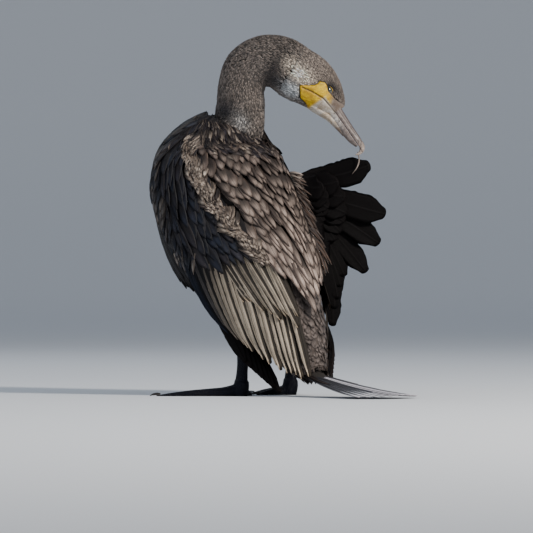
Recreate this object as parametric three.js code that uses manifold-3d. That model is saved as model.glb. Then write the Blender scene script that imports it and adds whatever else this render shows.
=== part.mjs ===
// A great cormorant that stands and preens, life-size, in millimetres, +Z up.
// Its neck arches over and its bill holds a feather of the half open right wing.
import * as THREE from "three";
import { mergeVertices } from "three/addons/utils/BufferGeometryUtils.js";
import Module from "manifold-3d";

const wasm = await Module();
wasm.setup();

// Driving sizes.
const GAP = 0.35; // between two nodes that touch
const SINK = 6; // how deep a root goes into what it grows from
const HALF = Math.SQRT1_2; // the bird heads half way between -X and +Y
const MEDIAN = new THREE.Vector3(4.5, 4.5, 0); // a point of its median plane
const DEG = Math.PI / 180;
const FORWARD = new THREE.Vector3(-HALF, HALF, 0);
const LEFTWARD = new THREE.Vector3(-HALF, -HALF, 0);
const UP = new THREE.Vector3(0, 0, 1);

const v3 = (x, y, z) => new THREE.Vector3(x, y, z);
const mix = THREE.MathUtils.lerp;
const clamp = THREE.MathUtils.clamp;

// A point given along the bird: forward, to its left, and up.
function bird(forward, left, up) {
  return MEDIAN.clone()
    .addScaledVector(FORWARD, forward)
    .addScaledVector(LEFTWARD, left)
    .addScaledVector(UP, up);
}

// A smooth run of a size from one end of a part to the other, for t from 0 to 1.
function profile(...values) {
  const spline = new THREE.SplineCurve(values.map((v, i) => new THREE.Vector2(i, v)));
  return (t) => spline.getPoint(clamp(t, 0, 1)).y;
}

// Closed solids.

function geometryOf(points, faces) {
  const geometry = new THREE.BufferGeometry();
  const flat = points.flatMap((p) => [p.x, p.y, p.z]);
  geometry.setAttribute("position", new THREE.Float32BufferAttribute(flat, 3));
  geometry.setIndex(faces);
  return geometry;
}

function signedVolume(position, index) {
  const [a, b, c] = [v3(), v3(), v3()];
  let sum = 0;
  for (let i = 0; i < index.length; i += 3) {
    a.fromBufferAttribute(position, index[i]);
    b.fromBufferAttribute(position, index[i + 1]);
    c.fromBufferAttribute(position, index[i + 2]);
    sum += a.dot(b.cross(c));
  }
  return sum / 6;
}

function solid(geometry) {
  const bare = geometry.clone();
  bare.deleteAttribute("normal");
  bare.deleteAttribute("uv");
  const merged = mergeVertices(bare, 1e-4);
  const { position } = merged.attributes;
  const index = new Uint32Array(merged.index.array);
  if (signedVolume(position, index) < 0) index.reverse();
  return new wasm.Manifold(
    new wasm.Mesh({ numProp: 3, vertProperties: position.array, triVerts: index }),
  );
}

// A skin over rings of points, closed by a fan at each end.
function loft(rings) {
  const sides = rings[0].length;
  const points = rings.flat();
  const faces = [];
  for (let r = 0; r + 1 < rings.length; r++) {
    for (let k = 0; k < sides; k++) {
      const [a, b] = [r * sides + k, r * sides + ((k + 1) % sides)];
      faces.push(a, b, b + sides, a, b + sides, a + sides);
    }
  }
  for (const r of [0, rings.length - 1]) {
    const middle = rings[r].reduce((sum, p) => sum.add(p), v3(0, 0, 0)).divideScalar(sides);
    const tip = points.push(middle) - 1;
    for (let k = 0; k < sides; k++) {
      const [a, b] = [r * sides + k, r * sides + ((k + 1) % sides)];
      faces.push(...(r ? [a, b, tip] : [b, a, tip]));
    }
  }
  return solid(geometryOf(points, faces));
}

// A plate between two like grids of points, split into triangles alike on both faces.
function plate(rows, columns, over, under) {
  const points = [];
  const at = (i, j, side) => (side * rows + i) * columns + j;
  for (const face of [over, under]) {
    for (let i = 0; i < rows; i++) {
      for (let j = 0; j < columns; j++) points.push(face(i, j));
    }
  }
  const faces = [];
  for (let i = 0; i + 1 < rows; i++) {
    for (let j = 0; j + 1 < columns; j++) {
      faces.push(at(i, j, 0), at(i, j + 1, 0), at(i + 1, j + 1, 0));
      faces.push(at(i, j, 0), at(i + 1, j + 1, 0), at(i + 1, j, 0));
      faces.push(at(i, j, 1), at(i + 1, j + 1, 1), at(i, j + 1, 1));
      faces.push(at(i, j, 1), at(i + 1, j, 1), at(i + 1, j + 1, 1));
    }
  }
  const rim = [];
  for (let j = 0; j < columns - 1; j++) rim.push([0, j]);
  for (let i = 0; i < rows - 1; i++) rim.push([i, columns - 1]);
  for (let j = columns - 1; j > 0; j--) rim.push([rows - 1, j]);
  for (let i = rows - 1; i > 0; i--) rim.push([i, 0]);
  rim.forEach(([i, j], n) => {
    const [k, l] = rim[(n + 1) % rim.length];
    faces.push(at(i, j, 0), at(i, j, 1), at(k, l, 1), at(i, j, 0), at(k, l, 1), at(k, l, 0));
  });
  return solid(geometryOf(points, faces));
}

const largest = (body) => body.decompose().sort((a, b) => b.volume() - a.volume())[0];
const join = (pieces) => pieces.reduce((sum, piece) => sum.add(piece));
const cut = (body, cutters) => largest(cutters.reduce((rest, cutter) => rest.subtract(cutter), body));

// An upright slab of space, used to cut at the floor or across a part.
function block(low, high) {
  const size = high.clone().sub(low);
  const middle = low.clone().add(high).multiplyScalar(0.5);
  return solid(new THREE.BoxGeometry(size.x, size.y, size.z).translate(middle.x, middle.y, middle.z));
}

// A ring of a limb: an ellipse round a point, across its run.
function ring(centre, side, top, halfWide, halfHigh, sides) {
  return Array.from({ length: sides }, (_, k) => {
    const angle = (2 * Math.PI * k) / sides;
    return centre
      .clone()
      .addScaledVector(side, halfWide * Math.cos(angle))
      .addScaledVector(top, halfHigh * Math.sin(angle));
  });
}

// A limb along a smooth line, with half sizes given at even steps.
function limb(line, side, wide, high, from, to, steps, sides, grow) {
  const curve = new THREE.CatmullRomCurve3(line, false, "centripetal");
  const rings = [];
  for (let i = 0; i <= steps; i++) {
    const t = mix(from, to, i / steps);
    const run = curve.getTangent(t);
    const top = v3().crossVectors(run, side).normalize();
    const across = v3().crossVectors(top, run).normalize();
    rings.push(ring(curve.getPoint(t), across, top, wide(t) + grow, high(t) + grow, sides));
  }
  return loft(rings);
}

// The torso: its middle line in the median plane, from the shoulders to the tail.
const torsoForward = profile(76, 84, 74, 58, 37, 12, -13, -36, -53, -66);
const torsoLeft = profile(-7, -2, 0, 0, 0, 0, 0, 0, 0, 0);
const torsoHeight = profile(330, 294, 252, 212, 175, 140, 105, 70, 44, 27);
const torsoWide = profile(23, 50, 65, 69, 68, 62, 53, 42, 30, 19);
const torsoBack = profile(21, 42, 54, 57, 55, 50, 42, 33, 23, 13);
const torsoBelly = profile(23, 46, 60, 66, 66, 59, 48, 36, 24, 13);

// The point of the torso's surface at a turn from the spine to the left, in degrees,
// at t from shoulders to tail, lifted off the surface by a distance.
function torsoPoint(turn, t, lift) {
  const step = 0.01;
  const ahead = torsoForward(t + step) - torsoForward(t - step);
  const run = v3(ahead, 0, torsoHeight(t + step) - torsoHeight(t - step)).normalize();
  const angle = turn * DEG;
  const [wide, deep] = [torsoWide(t), Math.cos(angle) > 0 ? torsoBack(t) : torsoBelly(t)];
  const dorsal = v3(run.z, 0, -run.x);
  const normal = v3(0, Math.sin(angle) / wide, 0).addScaledVector(dorsal, Math.cos(angle) / deep).normalize();
  const local = v3(torsoForward(t), torsoLeft(t) + wide * Math.sin(angle), torsoHeight(t))
    .addScaledVector(dorsal, deep * Math.cos(angle))
    .addScaledVector(normal, lift);
  return bird(local.x, local.y, local.z);
}

function torsoForm(grow) {
  const [rings, sides] = [13, 22];
  const skin = Array.from({ length: rings + 1 }, (_, r) =>
    Array.from({ length: sides }, (_, k) => {
      return torsoPoint((360 * k) / sides, mix(0.004, 0.996, r / rings), grow);
    }),
  );
  return loft(skin);
}

// The neck: up from the shoulders and over to the right.
const NECK_LINE = [
  v3(-60, 66, 250), v3(-50, 63, 288), v3(-38, 58, 320), v3(-35, 53, 345), v3(-34, 49, 366),
  v3(-26, 45, 387), v3(-8, 43, 397), v3(13, 42, 395), v3(31, 41, 383),
];
const NECK_SIDE = v3(0, -1, 0);
const neckHigh = profile(34, 33, 30.5, 28.5, 27.5, 29, 30.5, 31.5, 32);
const neckWide = profile(34, 32, 28, 26, 25, 25, 25.5, 25.5, 25);

function neckForm(from, to, grow) {
  const span = to - from;
  const pad = grow ? 0.02 : 0;
  const [start, end] = [from - pad * (from > 0), to + pad * (to < 1)];
  return limb(NECK_LINE, NECK_SIDE, neckWide, neckHigh, start, end, Math.round(span * 16), 20, grow);
}

// The head, from the end of the neck to where the bill begins.
const HEAD_LINE = [v3(31, 41, 383), v3(48, 41, 373), v3(62.5, 41, 359.5), v3(74, 41, 345), v3(79, 41, 337)];
const headHigh = profile(32, 30.5, 25.5, 17.5, 12);
const headWide = profile(25, 23.5, 19.5, 13.5, 9.5);
const EYE = v3(69, 41, 362);
const EYE_RADIUS = 6.6;
const EYE_APART = 12.2; // from the median plane to an eye's middle

function ball(centre, radius, segments) {
  const sphere = new THREE.SphereGeometry(radius, segments, segments / 2).rotateX(Math.PI / 2);
  return solid(sphere.translate(centre.x, centre.y, centre.z));
}

function headForm(grow) {
  return limb(HEAD_LINE, NECK_SIDE, headWide, headHigh, 0, 1, 8, 20, grow);
}

const eyeMiddle = (side) => EYE.clone().add(v3(0, side * EYE_APART, 0));

// The bill: two blades along one line, parted by the line of the mouth.
const BILL_BASE = v3(78, 41, 335.5);
const BILL_RUN = v3(0.568, 0, -0.823).normalize();
const BILL_TOP = v3(0.823, 0, 0.568).normalize();
const BILL_LENGTH = 49;
const upperHigh = profile(9.5, 8.6, 8, 7.6, 7.4, 7);
const lowerHigh = profile(9.5, 9.2, 8.8, 8, 6.6, 3);
const billWide = profile(9, 7.6, 6.4, 5.6, 5, 3.6);

function billPoint(along, top, across) {
  return BILL_BASE.clone()
    .addScaledVector(BILL_RUN, along)
    .addScaledVector(BILL_TOP, top)
    .addScaledVector(NECK_SIDE, across);
}

function billBlade(high, sign, grow) {
  const [steps, sides] = [5, 8];
  const rings = Array.from({ length: steps + 1 }, (_, i) => {
    const t = i / steps;
    const along = mix(-8, BILL_LENGTH, t) + (i === steps ? grow : 0);
    return Array.from({ length: sides }, (_, k) => {
      const angle = (Math.PI * k) / (sides - 1);
      const top = sign * (GAP / 2 - grow + (high(t) + 2 * grow) * Math.sin(angle));
      return billPoint(along, top, (billWide(t) + grow) * Math.cos(angle));
    });
  });
  return loft(rings);
}

function billHook(grow) {
  const bend = [v3(46, 0, 3.8), v3(51, 0, 3), v3(54.5, 0, 0), v3(55.6, 0, -4.5), v3(54.6, 0, -9)];
  const line = bend.map((p) => billPoint(p.x, p.z, 0));
  const [wide, high] = [profile(4, 3.4, 2.6, 1.7, 0.7), profile(3.6, 3.4, 2.7, 1.9, 0.8)];
  return limb(line, NECK_SIDE, wide, high, 0, 1, 5, 8, grow);
}

const POUCH_LINE = [v3(44, 41, 352), v3(52, 41, 344), v3(61, 41, 337), v3(70, 41, 330)];
const pouchForm = (grow) =>
  limb(POUCH_LINE, NECK_SIDE, profile(12, 12, 10, 6.5), profile(7, 7, 5.5, 3.5), 0, 1, 5, 12, grow);

// Legs.
const FOOT = v3(13.5, 41, 0); // forward of the middle, and out to each side

function thighForm(side, grow) {
  const ends = [bird(15, side * 40, 78), bird(8, side * 41, 60)];
  const line = [bird(26, side * 34, 140), bird(22, side * 37, 105), ...ends];
  return limb(line, LEFTWARD, profile(24, 23, 17, 8.5), profile(32, 30, 22, 10), 0, 1, 6, 12, grow);
}

function tarsusForm(side, grow) {
  const ends = [bird(11, side * 41, 36), bird(13, side * 41, 16)];
  const line = [bird(8, side * 41, 66), bird(8.5, side * 41, 58), ...ends];
  return limb(line, LEFTWARD, profile(6.5, 7.5, 5.6, 6.2), profile(9, 10, 7.6, 8.6), 0, 1, 8, 12, grow);
}

// Four webbed toes, each by its turn outwards, length and half width.
const TOES = [
  { turn: 46, length: 100, wide: 5 },
  { turn: 22, length: 82, wide: 5 },
  { turn: -4, length: 62, wide: 4.8 },
  { turn: -62, length: 42, wide: 4.4 },
];

function footPoint(side, turn, reach, height) {
  const angle = turn * DEG;
  return bird(FOOT.x + reach * Math.cos(angle), side * (FOOT.y + reach * Math.sin(angle)), height);
}

function footForm(side, grow) {
  const toes = TOES.map(({ turn, length, wide }) => {
    const heights = [16, 10, 8, 5.5, 3, 0.6];
    const line = heights.map((h, i) => footPoint(side, turn, (length * i) / (heights.length - 1), h / 2));
    const across = footPoint(side, turn + 90, 1, 0).sub(footPoint(side, 0, 0, 0));
    const toeWide = profile(wide + 2, wide + 1, wide, wide, wide * 0.7, 1);
    return limb(line, across, toeWide, profile(8, 6, 5, 4.4, 3, 1.2), 0, 1, 4, 5, grow);
  });
  const webs = TOES.slice(1).map((toe, i) => webForm(side, TOES[i], toe, grow));
  const ankle = limb(
    [footPoint(side, 0, -1, 18), footPoint(side, 0, 0, 10), footPoint(side, 0, 3, 3)],
    LEFTWARD, profile(8, 9, 9), profile(9.5, 10, 11), 0, 1, 3, 8, grow,
  );
  const floor = block(v3(-400, -400, -60), v3(400, 400, -grow));
  return largest(join([...toes, ...webs, ankle]).subtract(floor));
}

// The web between two toes, hollowed at its front edge.
function webForm(side, outer, inner, grow) {
  const [rows, columns] = [3, 4];
  const spot = (height) => (i, j) => {
    const across = j / (columns - 1);
    const turn = mix(outer.turn, inner.turn, across);
    const reach = mix(outer.length, inner.length, across) * (0.92 - 0.16 * Math.sin(Math.PI * across));
    return footPoint(side, turn, mix(4, reach, i / (rows - 1)), height(i / (rows - 1)));
  };
  return plate(rows, columns, spot((t) => mix(5, 1.6, t) + grow), spot(() => -1 - grow));
}

// Feathers: thin arched vanes, each along a run of points, with its root first.
const VANE = 0.64; // thickness
const ARCH = 0.05; // how far its middle stands up, for each half width
const OVERLAP = 1.4; // how much higher one feather lies than the next
const outline = profile(0.5, 0.8, 0.96, 1, 0.86, 0.36);

// run(u) is the middle line, out(u) points away from the body, and lean turns the vane
// about its run so that neighbours overlap like tiles.
function vane(run, out, half, lean, grow, steps = 4, columns = 3) {
  const step = 0.02;
  const spot = (face) => (i, j) => {
    const u = i === steps ? 1 : Math.pow(i / steps, 0.85);
    const along = run(Math.min(u + step, 1)).sub(run(Math.max(u - step, 0))).normalize();
    const side = v3().crossVectors(out(u), along).normalize();
    const top = v3().crossVectors(along, side).normalize();
    side.applyAxisAngle(along, lean);
    top.applyAxisAngle(along, lean);
    const across = (2 * j) / (columns - 1) - 1;
    const x = across * (half * outline(u) + grow);
    const rise = ARCH * half * outline(u) * (1 - across ** 2) + face * (VANE / 2 + grow);
    const end = i === 0 ? -grow : i === steps ? grow : 0;
    return run(u).addScaledVector(side, x).addScaledVector(top, rise).addScaledVector(along, end);
  };
  return plate(steps + 1, columns, spot(1), spot(-1));
}

// A straight run between two points, bowed out by a height half way.
function bowed(root, tip, bow) {
  return (u) => root.clone().lerp(tip, u).addScaledVector(bow, 4 * u * (1 - u));
}

// Wings. A folded one lies along the side, from the spine to its front edge.
const WING_BASE = 8; // how far it stands off the torso
const wingEdge = profile(0, 1, 4, 12, 26, 17); // and how much more, by turn
const wingAlong = profile(0.45, 1, 0.86, 0.64, 0.46, 0.4, 0.36, 0.34);
const WING_TURN = 132;
const ARM = { spine: 1.2, top: 0.012, end: 0.6 };
const HAND = { inner: 110.5, front: 131, top: 0.1, end: 0.6 };
const armFront = (t) => mix(127, 109, THREE.MathUtils.smoothstep(t, 0.1, 0.24));

const wingLift = (turn, t) => WING_BASE + wingEdge(Math.abs(turn) / WING_TURN) * wingAlong(t);
const wingPoint = (turn, t, lift) => torsoPoint(turn, t, wingLift(turn, t) + lift);
const wingOut = (turn, t) => wingPoint(turn, t, 1).sub(wingPoint(turn, t, 0));

// The flesh of a wing, sunk in the torso near the shoulder and free of it further down.
function wingFlesh(side, inner, front, ends, grow) {
  const [rows, columns, free] = [8, 8, 5];
  const pad = (n, last) => (n === last ? grow : n === 0 ? -grow : 0);
  const place = (i, j) => {
    const t = mix(ends[0], ends[1], i / (rows - 1));
    const turn = mix(inner, front(t), j / (columns - 1)) + 0.9 * pad(j, columns - 1);
    return [side * turn, t + 0.004 * pad(i, rows - 1)];
  };
  const over = (i, j) => {
    const [turn, t] = place(i, j);
    return wingPoint(turn, t, -1.5 - 1.5 * (i === rows - 1) - 3 * (i === 0) + grow);
  };
  const under = (i, j) => {
    const [turn, t] = place(i, j);
    const loose = side > 0 ? THREE.MathUtils.smoothstep(t, 0.4, 0.52) : 0;
    return torsoPoint(turn, t, mix(-SINK, Math.max(wingLift(turn, t) - free, 2), loose) - grow);
  };
  return plate(rows, columns, over, under);
}

// A feather that lies on a folded wing. Its root and tip are given by turn and t.
function wingFeather(side, root, tip, half, grow) {
  const turnAt = (u) => side * mix(root.turn, tip.turn, u);
  const tAt = (u) => mix(root.t, tip.t, u);
  const run = (u) => wingPoint(turnAt(u), tAt(u), mix(root.lift, tip.lift, u));
  return vane(run, (u) => wingOut(turnAt(u), tAt(u)), half, -side * 0.1, grow, 3, 2);
}

// Rows of coverts, top row first: the turns that a row spans, from front to back, the t
// of its tips there, and its feathers' number, length (in t) and half width.
const COVERT_ROWS = [
  { turns: [106, 64], tips: profile(0.19, 0.24, 0.28), count: 3, length: 0.12, half: 14 },
  { turns: [106, 52], tips: profile(0.31, 0.38, 0.44), count: 4, length: 0.13, half: 14 },
  { turns: [105, 42], tips: profile(0.42, 0.5, 0.6), count: 6, length: 0.16, half: 12 },
  { turns: [104, 34], tips: profile(0.52, 0.61, 0.7, 0.755), count: 7, length: 0.2, half: 12.5 },
];

// Rows of scapulars, between the coverts and the spine.
const SCAPULAR_ROWS = [
  { turns: [54, 14], tips: profile(0.22, 0.2), count: 3, length: 0.14, half: 14 },
  { turns: [47, 13], tips: profile(0.36, 0.34), count: 3, length: 0.17, half: 14 },
  { turns: [41, 13], tips: profile(0.5, 0.48), count: 2, length: 0.19, half: 14 },
  { turns: [33, 12], tips: profile(0.64, 0.64), count: 2, length: 0.22, half: 14 },
  { turns: [19, 13], tips: profile(0.78, 0.78), count: 1, length: 0.26, half: 14 },
];

function featherRow(side, row, rise, grow) {
  return Array.from({ length: row.count }, (_, n) => {
    const u = row.count > 1 ? n / (row.count - 1) : 0.5;
    const turn = mix(row.turns[0], row.turns[1], u);
    const t = row.tips(u);
    const root = { turn: turn + 3, t: t - row.length, lift: -2.6 };
    return wingFeather(side, root, { turn, t, lift: rise }, row.half, grow);
  });
}

// Flight feathers of the arm: the line of their roots, and that of their tips along the
// bird, from the outermost secondary to the innermost tertial.
const SECONDARIES = 9;
const rootTurn = profile(103, 82, 62, 42, 22);
const rootT = profile(0.4, 0.44, 0.48, 0.5, 0.5);
const tipForward = profile(17, -4, -18, -32, -44, -54, -64, -74);
const tipSide = profile(66, 65, 60, 54, 47, 39, 29, 18);
const tipUp = profile(78, 70, 58, 47, 39, 31, 24, 20);

function secondary(side, u, grow) {
  const root = wingPoint(side * rootTurn(u), rootT(u), -3.4);
  const tip = bird(tipForward(u), side * tipSide(u), tipUp(u));
  const rootOut = wingOut(side * rootTurn(u), rootT(u));
  const tipOut = bird(mix(-0.2, -0.85, u), side * mix(0.95, 0.45, u), 0.2).sub(MEDIAN);
  const out = (s) => rootOut.clone().lerp(tipOut, s);
  return vane(bowed(root, tip, out(0.5).normalize().multiplyScalar(8)), out, 10.5, -side * 0.14, grow, 3);
}

// One long feather of the hand, which lies under the arm's. place is 0 for the outermost.
function primary(side, place, tips, grow) {
  const root = wingPoint(side * mix(121, 114, place), mix(0.57, 0.53, place), mix(-15, -10, place));
  const tip = tips.long.clone().lerp(tips.short, place);
  const out = bird(-0.3, side * 0.95, 0.1).sub(MEDIAN);
  const bow = out.clone().multiplyScalar(mix(2, 4, place));
  return vane(bowed(root, tip, bow), () => out.clone(), 9, -side * 0.05, grow, 3);
}

const PRIMARIES = 4;
const LEFT_TIPS = { long: bird(-44, 33, 3.5), short: bird(-10, 56, 40) };
const RIGHT_TIPS = { long: bird(-60, -44, 14), short: bird(-20, -62, 50) };

function armForm(side, rows, grow) {
  const flesh = wingFlesh(side, ARM.spine, armFront, [ARM.top, ARM.end], grow);
  const feathers = rows.flatMap((row) => featherRow(side, row, 3, grow));
  return [flesh, ...feathers];
}

function leftArm(grow) {
  const flight = Array.from({ length: SECONDARIES }, (_, n) => secondary(1, n / (SECONDARIES - 1), grow));
  return join([...armForm(1, [...COVERT_ROWS, ...SCAPULAR_ROWS], grow), ...flight]);
}

// The right wing's arm keeps clear of the turns where its inner flight feathers stand out,
// and only its outer ones lie folded.
const FOLDED_RIGHT = 4;
const FAN_SPACE = [34, 70];

function rightArm(grow) {
  const [inner, outer] = FAN_SPACE;
  const coverts = COVERT_ROWS.slice(1).map((row) => {
    return { ...row, turns: [row.turns[0], outer], count: Math.ceil(row.count / 2) };
  });
  const scapulars = SCAPULAR_ROWS.slice(0, 3).map((row) => {
    return { ...row, turns: [inner, row.turns[1]], count: 2 };
  });
  const flight = Array.from({ length: FOLDED_RIGHT }, (_, n) => secondary(-1, n / (SECONDARIES - 1), grow));
  return join([...armForm(-1, [...coverts, ...scapulars], grow), ...flight]);
}

function handForm(side, tips, grow) {
  const flesh = wingFlesh(side, HAND.inner, () => HAND.front, [HAND.top, HAND.end], grow);
  const places = Array.from({ length: PRIMARIES }, (_, n) => n / (PRIMARIES - 1));
  return join([flesh, ...places.map((place) => primary(side, place, tips, grow))]);
}

// The open fan of the right wing's secondaries, from the one held by the bill down.
const FAN_TURN = -48;
const FAN_HUB = v3(35.4, 0, 237);
const fanAngle = profile(24, -12, -31, -49, -61, -66, -70, -73, -76);
const fanReach = profile(92, 105, 111, 121, 110, 119, 131, 141, 160);
const fanHalf = profile(14, 14.5, 12.5, 11, 10, 10, 10, 10, 10);
const fanDepth = profile(42, 42, 43, 42, 38, 34, 30, 27, 24);
const FAN_FEATHERS = 9;

function fanForm(grow) {
  const bar = Array.from({ length: 5 }, (_, n) => wingPoint(FAN_TURN, mix(0.22, 0.5, n / 4), -3));
  const quill = profile(4, 7, 7, 4);
  const quills = limb(bar, UP.clone().cross(FORWARD), quill, quill, 0, 1, 5, 8, grow);
  const feathers = Array.from({ length: FAN_FEATHERS }, (_, n) => {
    const u = n / (FAN_FEATHERS - 1);
    const angle = fanAngle(u) * DEG;
    const root = wingPoint(FAN_TURN, mix(0.25, 0.47, u), 3).add(v3(0, OVERLAP * (n - 4), 0));
    const [across, rise] = [fanReach(u) * Math.cos(angle), fanReach(u) * Math.sin(angle)];
    const tip = FAN_HUB.clone().add(v3(across, fanDepth(u) + OVERLAP * n, rise));
    const out = v3(mix(0, 0.45, u), -1, 0.1).normalize();
    const sag = v3(0, 0, mix(-6, 0, Math.min(4 * u, 1)));
    const bow = sag.addScaledVector(wingOut(FAN_TURN, 0.4), mix(0, 8, u));
    return vane(bowed(root, tip, bow), () => out.clone(), fanHalf(u), 0, grow, 3);
  });
  return join([quills, ...feathers]);
}

// The tail: a fan that slopes from the rump down to the floor.
const TAIL_ROOT = v3(-62, 0, 25);
const TAIL_LENGTH = 150;
const TAIL_SPREAD = 17;
const TAIL_SIDE = 5; // feathers each side of the middle one
const TAIL_COVERTS = 3;

function tailRun(place, rootUp, length, settle) {
  const angle = place * TAIL_SPREAD * DEG;
  return (u) => {
    const reach = length * u;
    const height = settle + (TAIL_ROOT.z + rootUp - settle) * Math.pow(1 - u, 1.5);
    const across = 9 * place + reach * Math.sin(angle);
    return bird(TAIL_ROOT.x - reach * Math.cos(angle), across, height);
  };
}

function tailForm(grow) {
  const rump = [bird(-46, 0, 32), bird(-64, 0, 26), bird(-82, 0, 19.5), bird(-98, 0, 14.5)];
  const pieces = [limb(rump, LEFTWARD, profile(18, 16, 13, 8), profile(14, 9.5, 6, 3), 0, 1, 6, 14, grow)];
  for (let n = -TAIL_SIDE; n <= TAIL_SIDE; n++) {
    const place = n / TAIL_SIDE;
    const settle = 2.1 + (n === 0 ? OVERLAP + 0.4 : 0);
    const run = tailRun(place, n === 0 ? OVERLAP : 0, TAIL_LENGTH * (1 - 0.13 * place * place), settle);
    pieces.push(vane(run, () => UP.clone(), 8.5, -0.19 * Math.sign(n), grow, 3));
  }
  for (let n = 0; n < TAIL_COVERTS; n++) {
    const place = mix(-0.7, 0.7, n / (TAIL_COVERTS - 1));
    const run = tailRun(place, 4, 46 + 8 * (1 - Math.abs(place)), 17);
    pieces.push(vane(run, () => UP.clone(), 9, -0.12 * Math.sign(place), grow, 3, 2));
  }
  const floor = block(v3(-400, -400, -60), v3(400, 400, -grow));
  return largest(join(pieces).subtract(floor));
}

// Lids: a rim round each eye, open in an almond that runs towards the bill.
function lidForm(middle, side) {
  const almond = new THREE.SphereGeometry(1, 10, 6).scale(6.2, 9, 4.4).rotateY(0.9);
  almond.translate(middle.x, middle.y + side * 8, middle.z);
  return ball(middle, EYE_RADIUS + 1.5, 10).subtract(solid(almond));
}

// A point of the head's surface: t from neck to bill, turned from the side that is given.
function headPoint(t, side, angle) {
  const curve = new THREE.CatmullRomCurve3(HEAD_LINE, false, "centripetal");
  const run = curve.getTangent(t);
  const top = v3().crossVectors(run, NECK_SIDE).normalize();
  return curve
    .getPoint(t)
    .addScaledVector(NECK_SIDE, -side * headWide(t) * Math.cos(angle * DEG))
    .addScaledVector(top, headHigh(t) * Math.sin(angle * DEG));
}

// The line of the mouth, back from the bill to below the eye.
function gapeForm(side) {
  const line = [[1, 2], [0.8, 10], [0.55, 19], [0.3, 25]].map(([t, angle]) => headPoint(t, side, angle));
  return limb(line, UP, () => 0.9, () => 0.8, 0, 1, 4, 4, 0);
}

// The closed groove of a nostril, along the side of the upper blade.
function nostrilForm(side) {
  const line = [2, 12, 22].map((along) => {
    return billPoint(along, 4.6, side * billWide((along + 8) / (BILL_LENGTH + 8)) * 0.93);
  });
  return limb(line, BILL_TOP, () => 0.7, () => 0.7, 0, 1, 2, 4, 0);
}

// Each node, cut clear of what it grows from.
function buildNodes() {
  const torso = torsoForm(0);
  const torsoRoom = torsoForm(GAP);
  const lowerRoom = neckForm(0, 0.36, GAP);
  const middleRoom = neckForm(0.36, 0.68, GAP);
  const upperRoom = neckForm(0.68, 1, GAP);
  const made = { torso };
  made.neck_lower = cut(neckForm(0, 0.36, 0), [torsoRoom]);
  made.neck_middle = cut(neckForm(0.36, 0.68, 0), [lowerRoom, torsoRoom]);
  made.neck_upper = cut(neckForm(0.68, 1, 0), [middleRoom]);

  const eyes = { left: eyeMiddle(1), right: eyeMiddle(-1) };
  const sockets = Object.values(eyes).map((middle) => ball(middle, EYE_RADIUS + GAP, 10));
  const grooves = [gapeForm(1), gapeForm(-1)];
  const lidded = join([headForm(0), lidForm(eyes.left, 1), lidForm(eyes.right, -1)]);
  made.head = cut(lidded, [upperRoom, ...sockets, ...grooves]);
  made.eye_left = ball(eyes.left, EYE_RADIUS, 10);
  made.eye_right = ball(eyes.right, EYE_RADIUS, 10);

  const headRoom = headForm(GAP);
  const upperBlade = join([billBlade(upperHigh, 1, 0), billHook(0)]);
  made.bill_upper = cut(upperBlade, [headRoom, nostrilForm(1), nostrilForm(-1)]);
  made.bill_lower = cut(billBlade(lowerHigh, -1, 0), [headRoom, billHook(GAP)]);
  const blades = [billBlade(lowerHigh, -1, GAP), billBlade(upperHigh, 1, GAP)];
  made.gular_pouch = cut(pouchForm(0), [headRoom, upperRoom, ...blades]);

  for (const [name, side] of [["left", 1], ["right", -1]]) {
    const thighRoom = thighForm(side, GAP);
    made["thigh_" + name] = cut(thighForm(side, 0), [torsoRoom]);
    made["tarsus_" + name] = cut(tarsusForm(side, 0), [torsoRoom, thighRoom]);
    made["foot_" + name] = cut(footForm(side, 0), [tarsusForm(side, GAP)]);
  }

  const bodyRoom = [torsoRoom, lowerRoom, middleRoom, thighForm(1, GAP), thighForm(-1, GAP)];
  const leftRoom = leftArm(GAP);
  const rightRoom = rightArm(GAP);
  made.wing_left_arm = cut(leftArm(0), bodyRoom);
  made.wing_left_hand = cut(handForm(1, LEFT_TIPS, 0), [...bodyRoom, leftRoom]);
  made.wing_right_arm = cut(rightArm(0), [...bodyRoom, leftRoom]);
  made.wing_right_fan = cut(fanForm(0), [...bodyRoom, rightRoom, leftRoom]);
  const fanRoom = fanForm(GAP);
  made.wing_right_hand = cut(handForm(-1, RIGHT_TIPS, 0), [...bodyRoom, rightRoom, fanRoom]);
  const hands = [handForm(1, LEFT_TIPS, GAP), handForm(-1, RIGHT_TIPS, GAP)];
  made.tail = cut(tailForm(0), [...bodyRoom, ...hands, leftRoom, rightRoom, fanRoom]);
  return made;
}

// Finishes.
const FINISH = {
  plumage: { color: 0x4a423c, roughness: 0.8, metalness: 0 },
  neck: { color: 0x6b625b, roughness: 0.85, metalness: 0 },
  horn: { color: 0xafa096, roughness: 0.45, metalness: 0 },
  pouch: { color: 0xd7b40a, roughness: 0.55, metalness: 0 },
  leg: { color: 0x14161c, roughness: 0.5, metalness: 0 },
  eye: { color: 0x2c3a36, roughness: 0.08, metalness: 0 },
};

function finishOf(name) {
  if (name.startsWith("eye")) return FINISH.eye;
  if (name.startsWith("bill")) return FINISH.horn;
  if (name === "gular_pouch") return FINISH.pouch;
  if (name.startsWith("tarsus") || name.startsWith("foot")) return FINISH.leg;
  if (name.startsWith("neck") || name === "head") return FINISH.neck;
  return FINISH.plumage;
}

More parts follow.
